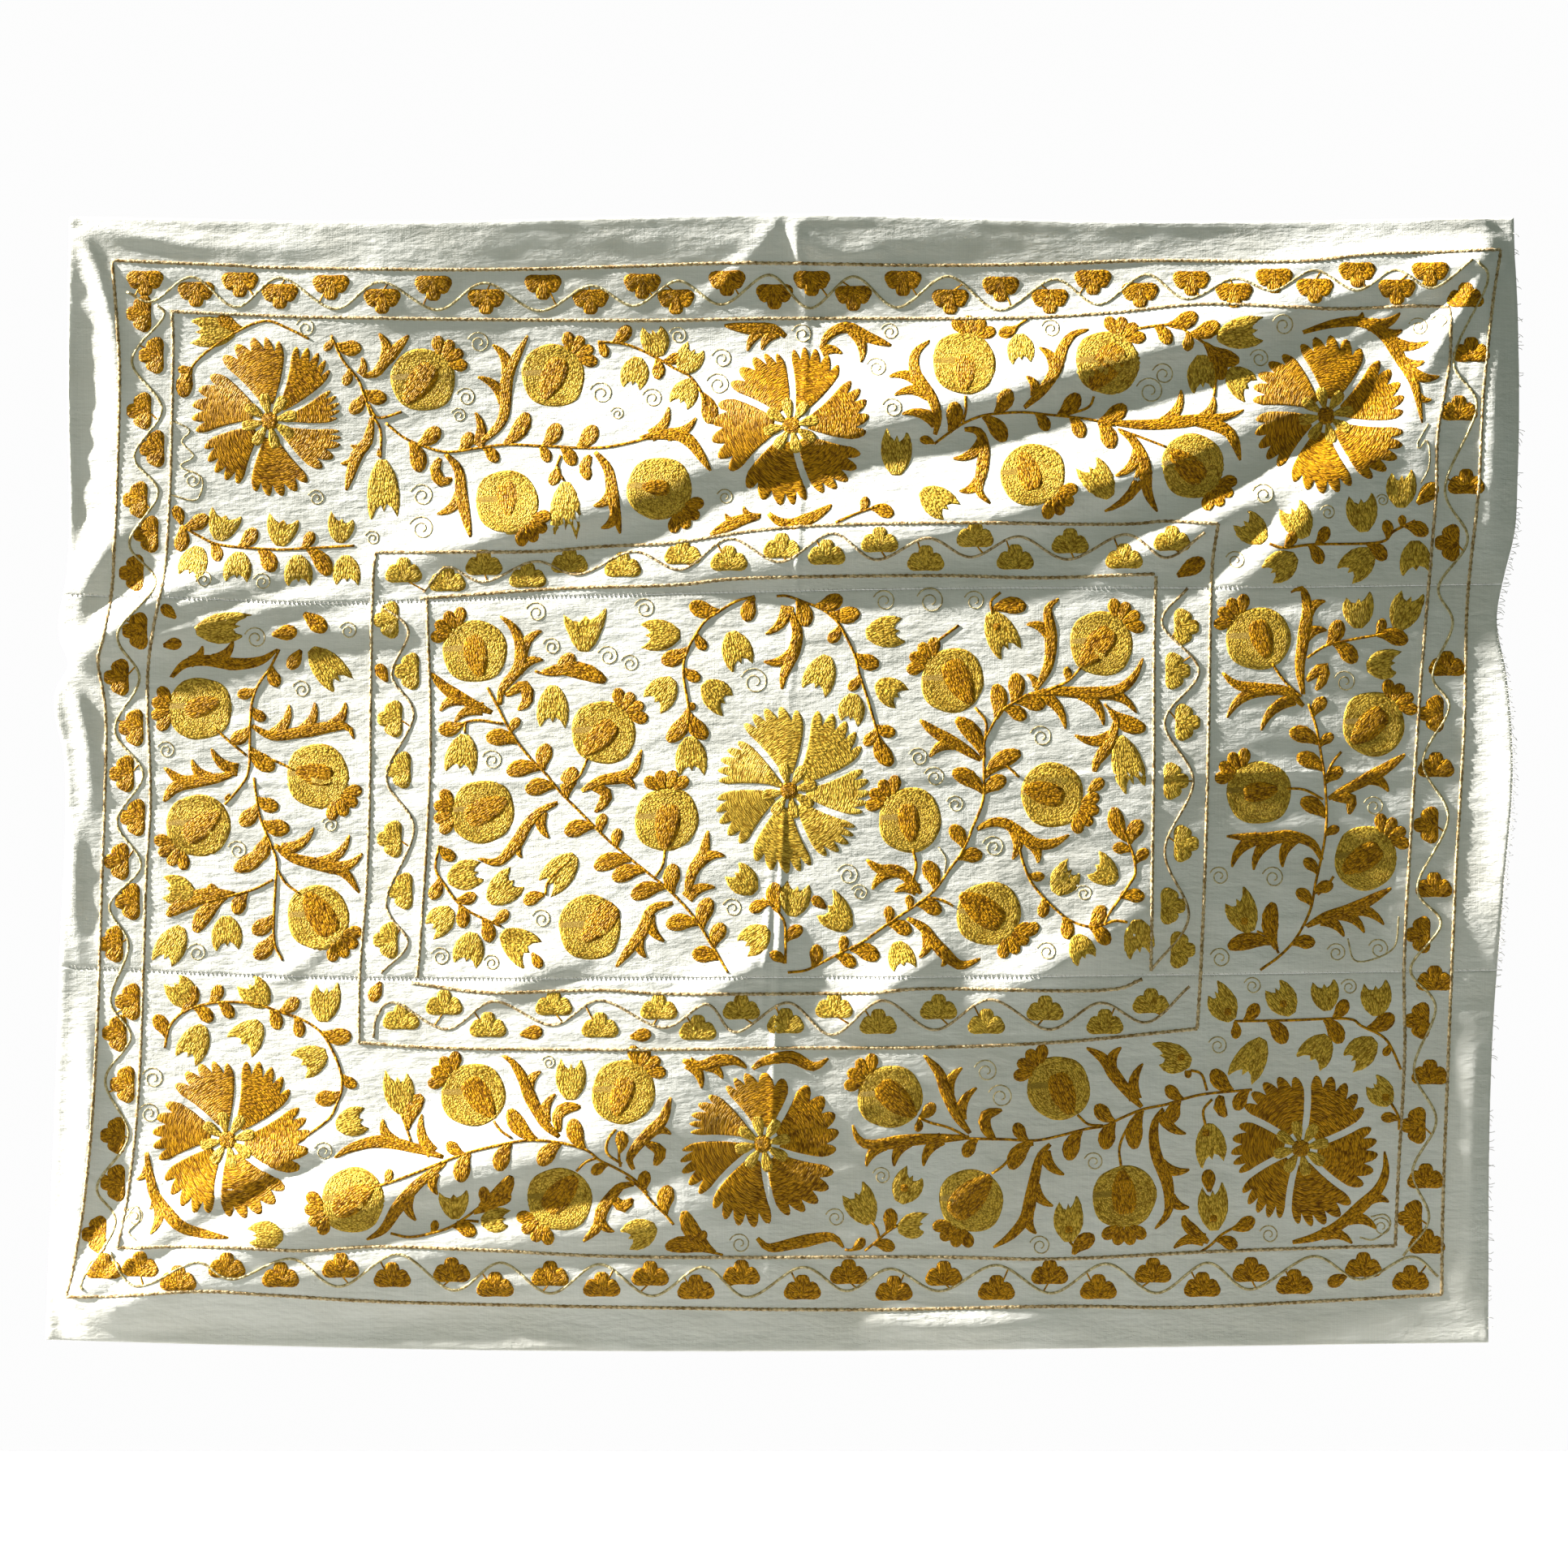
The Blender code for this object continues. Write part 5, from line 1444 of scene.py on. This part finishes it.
# Combs: broad curved leaves from root to point, then the tips of their teeth
COMBS = [Comb(*row) for row in [
    # Top border
    ([(-58, 22), (-56, 21.8), (-54.5, 20), (-51.2, 16.3)], [(-55.5, 16.2), (-57.8, 19.5)]),
    ([(-42, 31.8), (-38.5, 28), (-37.8, 22), (-35, 16.2)], [(-40, 17.7), (-42, 22.2), (-42.3, 27)]),
    ([(-46.5, 32.5), (-44.5, 35), (-44, 39), (-42.7, 44.5)], [(-47.5, 41)]),
    ([(-46.8, 33), (-47.7, 34.8), (-46.8, 36.6), (-45, 36)], []),
    ([(-26, 32.3), (-24, 35), (-23.3, 39), (-22.3, 44)], [(-26, 40), (-25, 43)]),
    ([(-26.2, 32.8), (-27.2, 34.5), (-26.5, 36.7)], []),
    ([(-20, 30.7), (-16, 30.2), (-13, 31), (-9.8, 35.5)], [(-15.8, 26.3), (-12, 27.8)]),
    ([(-56.3, 27.5), (-57, 31), (-58.5, 33), (-60, 38)], [(-59.3, 31.5), (-60.7, 34)]),
    ([(0.5, 16.8), (-1.5, 15.5), (-4.5, 15.5), (-8.5, 15)], [(-5, 18.7), (-3, 18.5)]),
    ([(5, 18.7), (6, 16.5), (8.5, 15.3), (11, 16.5), (15, 18)], [(8, 19), (10.5, 20.3)]),
    ([(20.5, 30.5), (21, 28), (20, 25), (18, 22), (18, 19), (20.2, 17)],
     [(14.3, 22.3), (15, 24.9), (16, 27.5)]),
    ([(-2.8, 41.3), (-6, 42), (-10.3, 44)], [(-8, 41), (-5.5, 40)]),
    ([(-2.3, 40.8), (-1, 42), (1, 42.5), (4, 41.5), (6.8, 39.7)], []),
    ([(32.5, 26.8), (35, 24.5), (37, 21.5), (38, 18.5), (39.5, 16.5), (42, 15.7)],
     [(33, 22.3), (34.8, 18.3)]),
    ([(24.3, 29.5), (26.5, 29.8), (27.3, 32), (27, 35), (26.5, 38), (28.3, 40)], [(23, 33.5), (23.8, 38)]),
    ([(44, 28.6), (50, 28.9), (56, 28.3), (60, 27.9), (63, 26.8)], [(54.2, 24), (58.6, 25)]),
    ([(45.5, 29.5), (47.5, 31), (49, 34), (49.5, 38), (51, 41)], [(45, 36), (43.5, 40.8)]),
    ([(54, 28.2), (57, 28.7), (60, 29.5), (61.3, 31), (62.3, 34)], []),
    ([(70.5, 16.3), (75, 15), (79, 14.8), (82, 16.5), (84, 19.5), (86, 23.5), (87, 29)],
     [(79, 13.4), (84.2, 13.5), (84.5, 15.8), (88, 17.5), (87.3, 20.2), (89.4, 22.3), (88.3, 25.5)]),
    # Left border
    ([(-84, 63.5), (-82, 61.5), (-79, 61), (-75, 61.5), (-71.5, 61), (-69, 59.3)],
     [(-79.5, 59), (-75.3, 58.3)]),
    ([(-73, 69.8), (-70, 71.3), (-66, 70.8), (-60, 70), (-58.7, 72)],
     [(-67.7, 67), (-64.2, 66.7), (-60, 66.7)]),
    ([(-74.5, 76), (-77, 77), (-82, 77.5), (-85, 75.5)], [(-81, 74.5), (-78.3, 73)]),
    ([(-79, 77.8), (-83, 78.2), (-85, 80.5)], []),
    ([(-70, 86), (-67, 88), (-63, 89), (-60, 90), (-57.8, 93)],
     [(-64.2, 83.8), (-59.3, 84.8), (-57.5, 87.3)]),
    # Middle field
    ([(-38.8, 67.5), (-38.5, 65), (-36.2, 62), (-36, 59), (-37, 56.5), (-39, 54.8)],
     [(-33, 57), (-32.8, 61)]),
    ([(-38.3, 66), (-35.5, 64.5), (-35, 66.5), (-36.5, 68)], []),
    ([(-39.5, 68.3), (-42.5, 67), (-46, 65), (-48.5, 62.5)], [(-47, 68), (-45, 69.5)]),
    ([(-27.8, 79), (-25, 77.5), (-21, 76.5), (-19.3, 73)], [(-20.3, 78.6)]),
    ([(-26.5, 78.3), (-24.3, 79), (-24.6, 80.5), (-26, 82)], []),
    ([(-30.5, 80.3), (-33, 81.5), (-35, 83.5), (-36.5, 86), (-39, 88.5), (-42, 88)],
     [(-35.7, 88), (-32, 85.3)]),
    ([(-14.8, 94), (-18, 95), (-19.3, 98), (-23, 103)], [(-18.7, 101.5), (-16.2, 99.3)]),
    ([(-13.3, 93.5), (-12.5, 90), (-11, 87.5), (-10.3, 84)], [(-8, 87.7), (-9.3, 92)]),
    ([(0.5, 53.5), (1.8, 57), (1.3, 60), (0, 63), (-0.3, 65.3)], [(-2.6, 57.5), (-2.8, 61.2)]),
    ([(16.5, 96), (19, 97.5), (20.5, 99.5), (23, 102), (24.5, 102.5), (27, 101.5)],
     [(21.3, 102.7), (18.3, 101.5)]),
    ([(18.8, 93), (16, 90), (13, 89.5), (11, 88)], [(12, 92.3), (15, 92.6)]),
    ([(34, 65.5), (35.7, 62.5), (36.3, 60), (36.3, 57), (36, 54), (37.7, 52.5)], [(33, 56.2), (33, 63)]),
    ([(33, 65.8), (37, 65.3), (41, 65.5), (45, 65.3), (47.5, 63.5), (49, 60.5)],
     [(38.3, 70.5), (43.5, 70), (48, 68.3)]),
    ([(27, 74.8), (24, 72.8), (20.5, 70.8), (18.3, 69)], [(19.8, 74.3)]),
    ([(45.2, 69), (44.5, 72), (42.5, 75), (42.2, 77)], [(39.5, 71.2)]),
    ([(26, 84.2), (28, 83.2), (30, 83.2), (32, 84.5), (34, 86), (36.5, 86), (39, 84.7)],
     [(31, 88.2), (34.5, 88.7)]),
    # Right border
    ([(70.8, 66), (70.3, 62), (70.8, 58), (71.3, 54), (70.5, 51.3), (68.7, 52)], [(73.8, 53), (74, 57)]),
    ([(71, 64), (73.5, 62), (73.3, 64), (72.3, 65.3)], []),
    ([(71, 67.5), (68.5, 65.3), (65, 65), (61.5, 64.3), (59.5, 62.5)], [(60.3, 69), (65, 70.7)]),
    ([(74, 80), (76, 79), (79, 77.5), (82, 75.8), (85, 73.7)], [(82.5, 79)]),
    ([(74.5, 79.8), (77.3, 80), (77, 82.3)], []),
    ([(73.5, 88.5), (72, 86), (69, 85), (66, 85.3), (60, 85)], [(68, 89.3), (64, 89.7), (61, 89.3)]),
    ([(71, 97.5), (74, 96), (78, 94.8), (83.2, 92)], [(76.5, 98.8), (79.3, 98.3), (82, 97.2)]),
    # Bottom border
    ([(-87.2, 128), (-86.8, 131), (-86, 134), (-84, 136.5), (-82, 138.3), (-79, 139.2), (-75.3, 139.7)],
     [(-88.6, 132), (-86.7, 136), (-86.5, 139.3)]),
    ([(-46, 128.7), (-50, 127.5), (-55, 126.6), (-59, 127.5), (-61.5, 129)],
     [(-54.7, 123.5), (-49.3, 122.8)]),
    ([(-45.7, 129), (-47.5, 130.5), (-50, 132.5), (-52.5, 135.5), (-54.5, 138.5), (-57, 140)],
     [(-50, 137.3), (-47, 133.7)]),
    ([(-30.3, 126), (-32.5, 124), (-34.5, 120.5), (-35.5, 118), (-37, 115.7), (-38.7, 114.7)],
     [(-33, 117), (-31, 120)]),
    ([(-30.5, 125.5), (-30.8, 123), (-29.5, 121.9), (-27.3, 121.8)], []),
    ([(-20.3, 130.5), (-21, 129), (-20.3, 127.5), (-18.5, 125.5), (-16.5, 123.5), (-15.3, 120.2)],
     [(-15.3, 125.5)]),
    ([(-19, 126.5), (-16.8, 127.8), (-17.7, 130)], []),
    ([(-20, 132.3), (-22, 132.5), (-23.5, 134), (-24.8, 136), (-25.3, 138), (-27.5, 140.3)],
     [(-23, 138.7)]),
    ([(-23.5, 134), (-21.8, 135.3), (-20.3, 134)], []),
    ([(-14, 115.3), (-11.5, 116.2), (-9, 115.5), (-6.5, 115.5), (-4.8, 116.7)],
     [(-11.2, 119.3), (-8.3, 118)]),
    ([(-4.5, 116.7), (-2.5, 115.5), (1, 115), (4, 116.3), (6.3, 115)], []),
    ([(-3.8, 139.5), (-2, 141), (2, 140.3), (6.5, 139.6), (8.3, 141.3)], []),
    ([(25.5, 126), (18, 126.3), (12, 127), (10, 126), (9.3, 124)], [(19, 130), (15, 130), (11.2, 130)]),
    ([(28.8, 126.5), (27.5, 124.8), (27.5, 123), (30, 122.2)], []),
    ([(25.5, 125.7), (23.5, 123), (22, 119.5), (21, 117), (18.8, 114.5)], [(26.3, 119.2), (24.3, 116.5)]),
    ([(49, 122.2), (47, 120), (45, 117.5), (43.5, 115.3), (41, 113.7)], [(49, 116), (46, 113.8)]),
    ([(36.5, 126.8), (35, 128.5), (34.3, 131), (33.7, 134), (33, 137), (31, 139.5), (28.3, 141.3)],
     [(38.3, 131.2), (36.8, 135.5), (34.5, 139.3)]),
    ([(52, 122), (50.7, 124), (50.5, 126.5), (51, 129), (52.3, 132), (52.7, 135), (52.3, 137), (50.5, 139)],
     [(55, 125.7), (55.5, 130.6), (55.5, 135.8)]),
    ([(58.3, 140.8), (56.5, 139.5), (55, 138), (54.7, 136.7)], [(53.3, 141.5)]),
    ([(59.9, 120.2), (59.5, 122), (60.7, 123.7)], []),
    ([(69.5, 140.8), (73, 140), (76, 138.5), (79, 136), (81.5, 133.5), (82.5, 131), (82.3, 128)],
     [(78, 141), (81.3, 139), (83, 135.3)]),
]]

# Tulips: where the cup joins its stalk, then its two points
TULIPS = [Tulip(*row) for row in [
    # Top border
    ((-75, 16), (-81.7, 14.5), (-81.7, 17.5)), ((-55, 33.3), (-56.5, 42.5), (-52.8, 41.8)),
    ((-29.8, 36.5), (-31.3, 44.5), (-28.3, 44.8)), ((-20, 19.3), (-22, 24), (-19.8, 24.3)),
    ((-17, 19.5), (-19.5, 15), (-17, 14.8)), ((-14, 21.8), (-13, 17), (-10.8, 18.2)),
    ((-12.5, 22.5), (-15.8, 26), (-13.3, 27)), ((15.3, 36), (14, 29), (16.8, 29.5)),
    ((32.2, 16.2), (31.3, 21.1), (33.7, 20.6)), ((57, 19.2), (56, 25.1), (58.6, 24.3)),
    ((44.5, 39), (39.5, 34.7), (42.3, 33)), ((18.6, 37.8), (24.3, 40.1), (22, 42.2)),
    ((59, 17), (65.6, 14.1), (66, 17.3)), ((60.6, 21.2), (64.8, 22.9), (63.2, 26.2)),
    ((84, 40.4), (82.8, 35.3), (85.5, 34.6)),
    # Left border
    ((-77.5, 44.7), (-78.3, 39.7), (-74, 41)), ((-69, 45.5), (-70.5, 40.5), (-66.3, 41.5)),
    ((-60.8, 45), (-62, 40.3), (-58.9, 41.5)), ((-80, 45.3), (-82.8, 49.6), (-80.3, 50.5)),
    ((-74.5, 46), (-76.3, 50.6), (-73.4, 50.6)), ((-66.5, 46.5), (-67.8, 51.2), (-64.8, 51)),
    ((-60, 46.5), (-61.2, 51), (-58.2, 51)), ((-80.5, 57), (-72.5, 54.8), (-73.5, 57.6)),
    ((-64.8, 59.3), (-58.6, 63.8), (-61.2, 65.8)), ((-80.5, 93), (-85.3, 90.5), (-85.3, 93.4)),
    ((-82.3, 97.3), (-86.7, 102.5), (-84, 103.2)), ((-76.3, 95.8), (-77.6, 101.2), (-74.5, 100.8)),
    ((-80.7, 108.3), (-85, 105), (-83, 103.8)), ((-70.5, 108.3), (-75, 105.3), (-72.5, 104)),
    ((-63, 110.5), (-63.8, 105), (-60.8, 104.5)), ((-79.3, 110.8), (-83.4, 115.5), (-80.6, 116.8)),
    ((-71.5, 110.3), (-76.5, 112.7), (-72.8, 115.5)), ((-62.3, 114.5), (-67.8, 115), (-65.5, 118.2)),
    # Middle field
    ((-27.3, 60), (-30.2, 54.6), (-24, 53.3)), ((-31.5, 64.3), (-33.3, 70.6), (-29.8, 70.6)),
    ((-43.5, 71), (-46.3, 76.6), (-42.5, 77)), ((-46, 91), (-41, 88.5), (-40.5, 90.8)),
    ((-45.2, 94.8), (-49, 97.2), (-48, 99.3)), ((-42.3, 98), (-45, 102.6), (-42, 103.3)),
    ((-38.5, 98), (-32.6, 99.5), (-35, 103.4)), ((-40.3, 94), (-37, 89), (-35, 91.7)),
    ((-28.3, 87.5), (-33.7, 91.4), (-32, 93.6)), ((-14, 57.5), (-20, 56.1), (-19.8, 59.3)),
    ((-7.3, 57), (-6.8, 63.2), (-4.2, 61.7)), ((-15, 63.5), (-19.4, 66.3), (-17, 68.6)),
    ((-11, 64), (-6.8, 66), (-8, 69)), ((-12.8, 71.3), (-14.2, 77.2), (-10.8, 77)),
    ((6, 60.3), (2.3, 65.2), (5.5, 66.5)), ((11, 57.5), (16.4, 55.3), (17, 58.5)),
    ((12.5, 64), (17.2, 65.2), (15.4, 67.8)), ((9.5, 65.5), (7.8, 69.6), (10, 70.4)),
    ((1, 96), (0.5, 90.8), (3.5, 91.2)), ((-3.8, 92.7), (-8.2, 90.3), (-6.5, 88.3)),
    ((-2, 97.5), (-6.7, 99.4), (-5.2, 101.5)), ((15.3, 99.2), (15, 103.7), (18, 103)),
    ((9, 97.7), (4.3, 95.7), (6.3, 91.8)), ((28, 54.3), (32.5, 59.8), (29.7, 61.5)),
    ((45.5, 71.2), (46.7, 80), (49.2, 78.6)), ((36.8, 92.9), (38.8, 87.8), (40.4, 89.8)),
    ((45.3, 91.2), (42.5, 86.7), (41, 90.2)), ((39.6, 98.3), (40, 103), (42.4, 101.5)),
    ((48, 96.2), (47.2, 102.3), (50, 101.3)),
    # Right border
    ((71, 44.5), (67.3, 40.3), (70, 38.8)), ((79, 43.7), (76.8, 38.5), (80, 37.8)),
    ((80.3, 46), (75, 48.8), (77.2, 50.8)), ((86, 44.6), (84.3, 50), (88.2, 49.3)),
    ((69.8, 46.8), (64.7, 48.7), (66.3, 50.7)), ((65.5, 45), (61, 42.5), (63, 40.5)),
    ((78.2, 56.8), (76.6, 52.3), (79.9, 51.2)), ((83.5, 57), (84.3, 51.3), (87.5, 51.5)),
    ((79.3, 62), (84.6, 59.8), (83.8, 62.7)), ((63.7, 98.2), (60, 94), (62.4, 91.3)),
    ((61.3, 110.3), (57.8, 106.6), (58.7, 104.2)), ((55.7, 116), (49.6, 113.2), (51, 116.2)),
    ((69.5, 109.5), (65.6, 105.8), (67.5, 104.3)), ((74.3, 109), (72.2, 104.8), (75.2, 104.2)),
    ((81.2, 109.8), (79.3, 105), (82.3, 104.2)), ((65.6, 112.6), (60.3, 118.2), (63.8, 119.3)),
    ((74.5, 112.3), (69.8, 115.5), (73.2, 117.4)), ((81, 112.8), (76.3, 115.3), (77.6, 117.6)),
    ((83.1, 121.9), (80.8, 117.4), (79.6, 119.2)),
    # Bottom border
    ((-52, 123), (-54.4, 116.5), (-51.4, 117)), ((-61.2, 124.5), (-56.9, 122), (-56.2, 124.8)),
    ((-68, 139.3), (-73.4, 138.5), (-73, 140.2)), ((-29, 121), (-30.3, 114.9), (-27.6, 114.9)),
    ((-44.7, 137.2), (-46.9, 133.2), (-43, 132.7)), ((-41.3, 137.4), (-36.9, 135.9), (-37.2, 137.9)),
    ((-17.3, 138), (-22.6, 138.8), (-21.3, 141.3)), ((11.9, 137.9), (7.8, 133.7), (10.5, 131.5)),
    ((15.6, 135), (16.9, 129.6), (19, 131.3)), ((15.4, 138.6), (20, 136.4), (19.3, 138.9)),
    ((58, 124.2), (57.2, 131), (60.2, 129.7)), ((58.9, 139.2), (57.2, 132.8), (59.9, 131.8)),
    ((38.9, 140.6), (37.6, 134.7), (39.9, 133.5)),
]]
TULIP_EYES = [
    (29, 56.5), (60.6, 109.0), (54.2, 115.2), (82.4, 120.8), (16.4, 132.9), (57.7, 125.6), (58.8, 137.4),
    (38.9, 138.7), (62.8, 96.6), (68.2, 107.9),
]

# Spirals: across and down to the middle, then the radius
SPIRALS = [Spiral((across, down), radius) for across, down, radius in [
    (-65.5, 15.5, 1.4), (-81, 36.3, 1.3), (-41.8, 17.5, 1.6), (-43.5, 25, 1.4), (-44.5, 27.5, 1.1),
    (-25, 24.5, 1.7), (-22.8, 27.3, 1.0), (-49.5, 38.5, 1.7), (-49.5, 43, 1.8), (-14.5, 16.5, 1.3),
    (-8.5, 19.7, 1.5), (-9, 23.3, 1.7), (-18, 25.2, 1.5), (-8, 38.8, 1.2), (-64, 38.8, 1.2),
    (-56.3, 44.3, 1.1), (12.7, 21, 1.5), (14.8, 26.7, 1.5), (14.5, 16, 1.3), (2.5, 16.3, 1.5),
    (36.5, 15.7, 1.4), (51.8, 22, 1.6), (50, 24.3, 2.0), (68.2, 15.3, 1.6), (65, 19.8, 1.4),
    (86.7, 15.5, 1.4), (65.3, 38.5, 1.6), (74, 41, 1.1), (81.5, 39.3, 0.9), (-79.3, 50, 1.3),
    (-71.3, 50.3, 1.3), (-59.5, 57, 1.3), (-72.2, 58, 1.6), (-66, 65, 1.3), (-84.5, 73.3, 1.3),
    (-74.7, 87, 1.4), (-80.3, 101, 1.4), (-62, 83.5, 1.2), (-33.8, 54.5, 1.5), (-31.7, 59.2, 1.3),
    (-24, 60.5, 1.5), (-21, 61.5, 1.3), (-19, 54, 1.5), (-39.8, 74.7, 1.5), (-46.8, 101.5, 1.4),
    (-39.8, 102.3, 1.2), (-33, 96.3, 1.4), (13.7, 53, 1.6), (20, 53, 2.0), (-4, 64, 2.0), (18.3, 74.3, 1.4),
    (20.5, 77, 1.5), (-7, 94.8, 1.4), (8.7, 90.3, 1.6), (10.3, 92.7, 1.2), (26, 53, 1.5), (35, 71.5, 1.6),
    (23.3, 80.7, 1.3), (28.5, 86.5, 1.6), (40.8, 92.8, 1.2), (35.7, 100.7, 1.4), (61.5, 47.5, 1.4),
    (76.5, 64, 1.6), (66.7, 90.7, 1.6), (80.5, 81, 1.5), (75.5, 101, 1.4), (81.3, 100.5, 1.5),
    (59.3, 90.5, 1.4), (59.5, 101.7, 1.5), (59.3, 113.7, 1.4), (64, 105.5, 1.3), (77.3, 105.7, 1.2),
    (-86.3, 118.2, 1.6), (-86.8, 123, 1.5), (-88.7, 137, 1.4), (-62.7, 128, 1.4), (-32, 115.8, 1.0),
    (-6, 140.5, 1.5), (13.3, 131.3, 1.3), (7, 137, 1.4), (27.5, 117, 1.7), (29.5, 120.5, 1.8),
    (42.3, 129.5, 1.4), (35, 141, 1.5), (66.5, 139.7, 1.4), (82, 138.7, 1.4),
]]

# Thin curling threads
TENDRILS = [
    [(-84, 28), (-81.3, 29.5), (-82.5, 31), (-80.8, 33), (-82.7, 34.4), (-79.7, 36), (-80.5, 39),
     (-84, 38.3)],
    [(87.8, 28.8), (86.3, 31.5), (86.6, 32.2), (87.5, 31), (88, 33), (87.8, 35), (86.7, 37)],
    [(77, 99), (78, 102), (81, 101.7), (83.5, 100), (84, 96)],
    [(21, 86.5), (22, 88), (21.8, 90)],
    [(88.3, 14.5), (89.5, 13.7), (90.4, 14.6), (89.6, 15.6)],
    [(-90.5, 138), (-88.5, 135.5), (-88, 137.5), (-89.5, 139), (-88.3, 140.2)],
    [(80.5, 137.3), (82.5, 137), (83.2, 138.5), (81, 140.4), (79, 140.1)],
]

# Sewing and hanging the cloth

for line in FRAME_LINES:
    sew_frame(line)
vines = [sew_vine("cream", waves) for waves in OUTER_VINES]
vines += [sew_vine("brown", waves) for waves in INNER_VINES]
vines = np.concatenate(vines)
for row in TREFOILS:
    for place in row.places:
        sew_trefoil(row.silk, place, row.facing, vines)
CHART = (
    (SMALL_LEAVES, sew_small_leaf),
    (ROSETTES, sew_rosette),
    (POMEGRANATES, sew_pomegranate),
    (STEMS, sew_stem),
    (COMBS, sew_comb),
    (TULIPS, sew_tulip),
    (TULIP_EYES, sew_tulip_eye),
    (SPIRALS, sew_spiral),
    (TENDRILS, sew_tendril),
)
for motifs, sew_motif in CHART:
    for motif in motifs:
        sew_motif(motif)
sew_hems()
sew_seams()
fray_selvage()

silk_looks = {name: silk_material(silk) for name, silk in SILKS.items()}
sewn = {"top": [], "middle": [], "bottom": []}
for (silk, width), work in pieces.items():
    sewn[width].append(work.finish(silk_looks[silk]))

cotton = cotton_material()
for panel in PANELS:
    cloth = build_cloth(panel, cotton)
    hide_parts(panel.node)
    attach(cloth, "root")
    width = panel.name.split("_")[1]

# The view, the light and the floor, in metres

CAMERA_DISTANCE = 6.0
VIEW_WIDTH = 2.144
SENSOR_WIDTH = 36.0
VIEW_CENTRE_DOWN = 77.9
FARTHEST_SEEN = 100.0

camera_data = bpy.data.cameras.new("camera")
camera_data.sensor_width = SENSOR_WIDTH
camera_data.lens = SENSOR_WIDTH * CAMERA_DISTANCE / VIEW_WIDTH
camera_data.clip_end = FARTHEST_SEEN
camera = put("camera", camera_data)
camera.location = (0.0, -CAMERA_DISTANCE, -VIEW_CENTRE_DOWN * CENTIMETRE)
camera.rotation_euler = (math.pi / 2.0, 0.0, 0.0)
bpy.context.scene.camera = camera

# The sun comes from the upper left, almost along the cloth
SUN_BEARING = math.radians(32.0)
SUN_RISE = math.radians(4.6)
SUN_SPREAD = math.radians(1.2)
SUN_STRENGTH = 20.0
SUN_COLOUR = (1.0, 0.985, 0.955)

sun_data = bpy.data.lights.new("low_sun", "SUN")
sun_data.energy = SUN_STRENGTH
sun_data.angle = SUN_SPREAD
sun_data.color = SUN_COLOUR
travel = Vector((
    math.cos(SUN_RISE) * math.cos(SUN_BEARING),
    math.sin(SUN_RISE),
    -math.cos(SUN_RISE) * math.sin(SUN_BEARING),
))
put("low_sun", sun_data).rotation_euler = travel.to_track_quat("-Z", "Y").to_euler()

# A soft lamp in front, on the left, fills the shade there
LAMP_PLACE = Vector((-3.4, -1.5, -0.2))
LAMP_TARGET = Vector((-0.6, 0.0, -0.75))
LAMP_SIZE = 1.6
LAMP_POWER = 26.0
LAMP_COLOUR = (1.0, 0.97, 0.86)

lamp_data = bpy.data.lights.new("soft_panel", "AREA")
lamp_data.energy = LAMP_POWER
lamp_data.size = LAMP_SIZE
lamp_data.color = LAMP_COLOUR
lamp = put("soft_panel", lamp_data)
lamp.location = LAMP_PLACE
lamp.rotation_euler = (LAMP_TARGET - LAMP_PLACE).to_track_quat("-Z", "Y").to_euler()
lamp.visible_camera = False

# The room is dim in front of the cloth, brighter at its sides and white behind it
ROOM_FRONT = (0.176, 0.206, 0.178)
ROOM_SIDES = (0.52, 0.54, 0.52)
ROOM_BACK = (0.98, 0.98, 0.98)

world = bpy.data.worlds.new("soft_room")
bpy.context.scene.world = world
world.use_nodes = True
nodes = world.node_tree.nodes
direction = nodes.new("ShaderNodeTexCoord")
parts = nodes.new("ShaderNodeSeparateXYZ")
sky = colour_ramp(nodes, [(0.0, ROOM_FRONT), (0.35, ROOM_SIDES), (0.82, ROOM_SIDES), (0.93, ROOM_BACK)])
wire(direction, "Generated", parts, "Vector")
wire(parts, "Y", sky, "Fac")
wire(sky, "Color", nodes["Background"], "Color")
nodes["Background"].inputs["Strength"].default_value = 1.0
bpy.context.scene.view_settings.view_transform = "Standard"

FLOOR_LEVEL = -2.3
FLOOR_SIDE = 2.4
FLOOR_FRONT = -0.8
FLOOR_BACK = 4.0
FLOOR_COLOUR = (0.40, 0.40, 0.39, 1.0)

floor_mesh = bpy.data.meshes.new("floor")
front_corners = [(-FLOOR_SIDE, FLOOR_FRONT, 0.0), (FLOOR_SIDE, FLOOR_FRONT, 0.0)]
back_corners = [(FLOOR_SIDE, FLOOR_BACK, 0.0), (-FLOOR_SIDE, FLOOR_BACK, 0.0)]
floor_mesh.from_pydata(front_corners + back_corners, [], [(0, 1, 2, 3)])
floor = put("floor", floor_mesh)
floor.location = (0.0, 0.0, FLOOR_LEVEL)
floor_look, _, floor_shader = new_material("floor_look")
set_inputs(floor_shader, {"Base Color": FLOOR_COLOUR, "Roughness": 0.8})
floor_mesh.materials.append(floor_look)
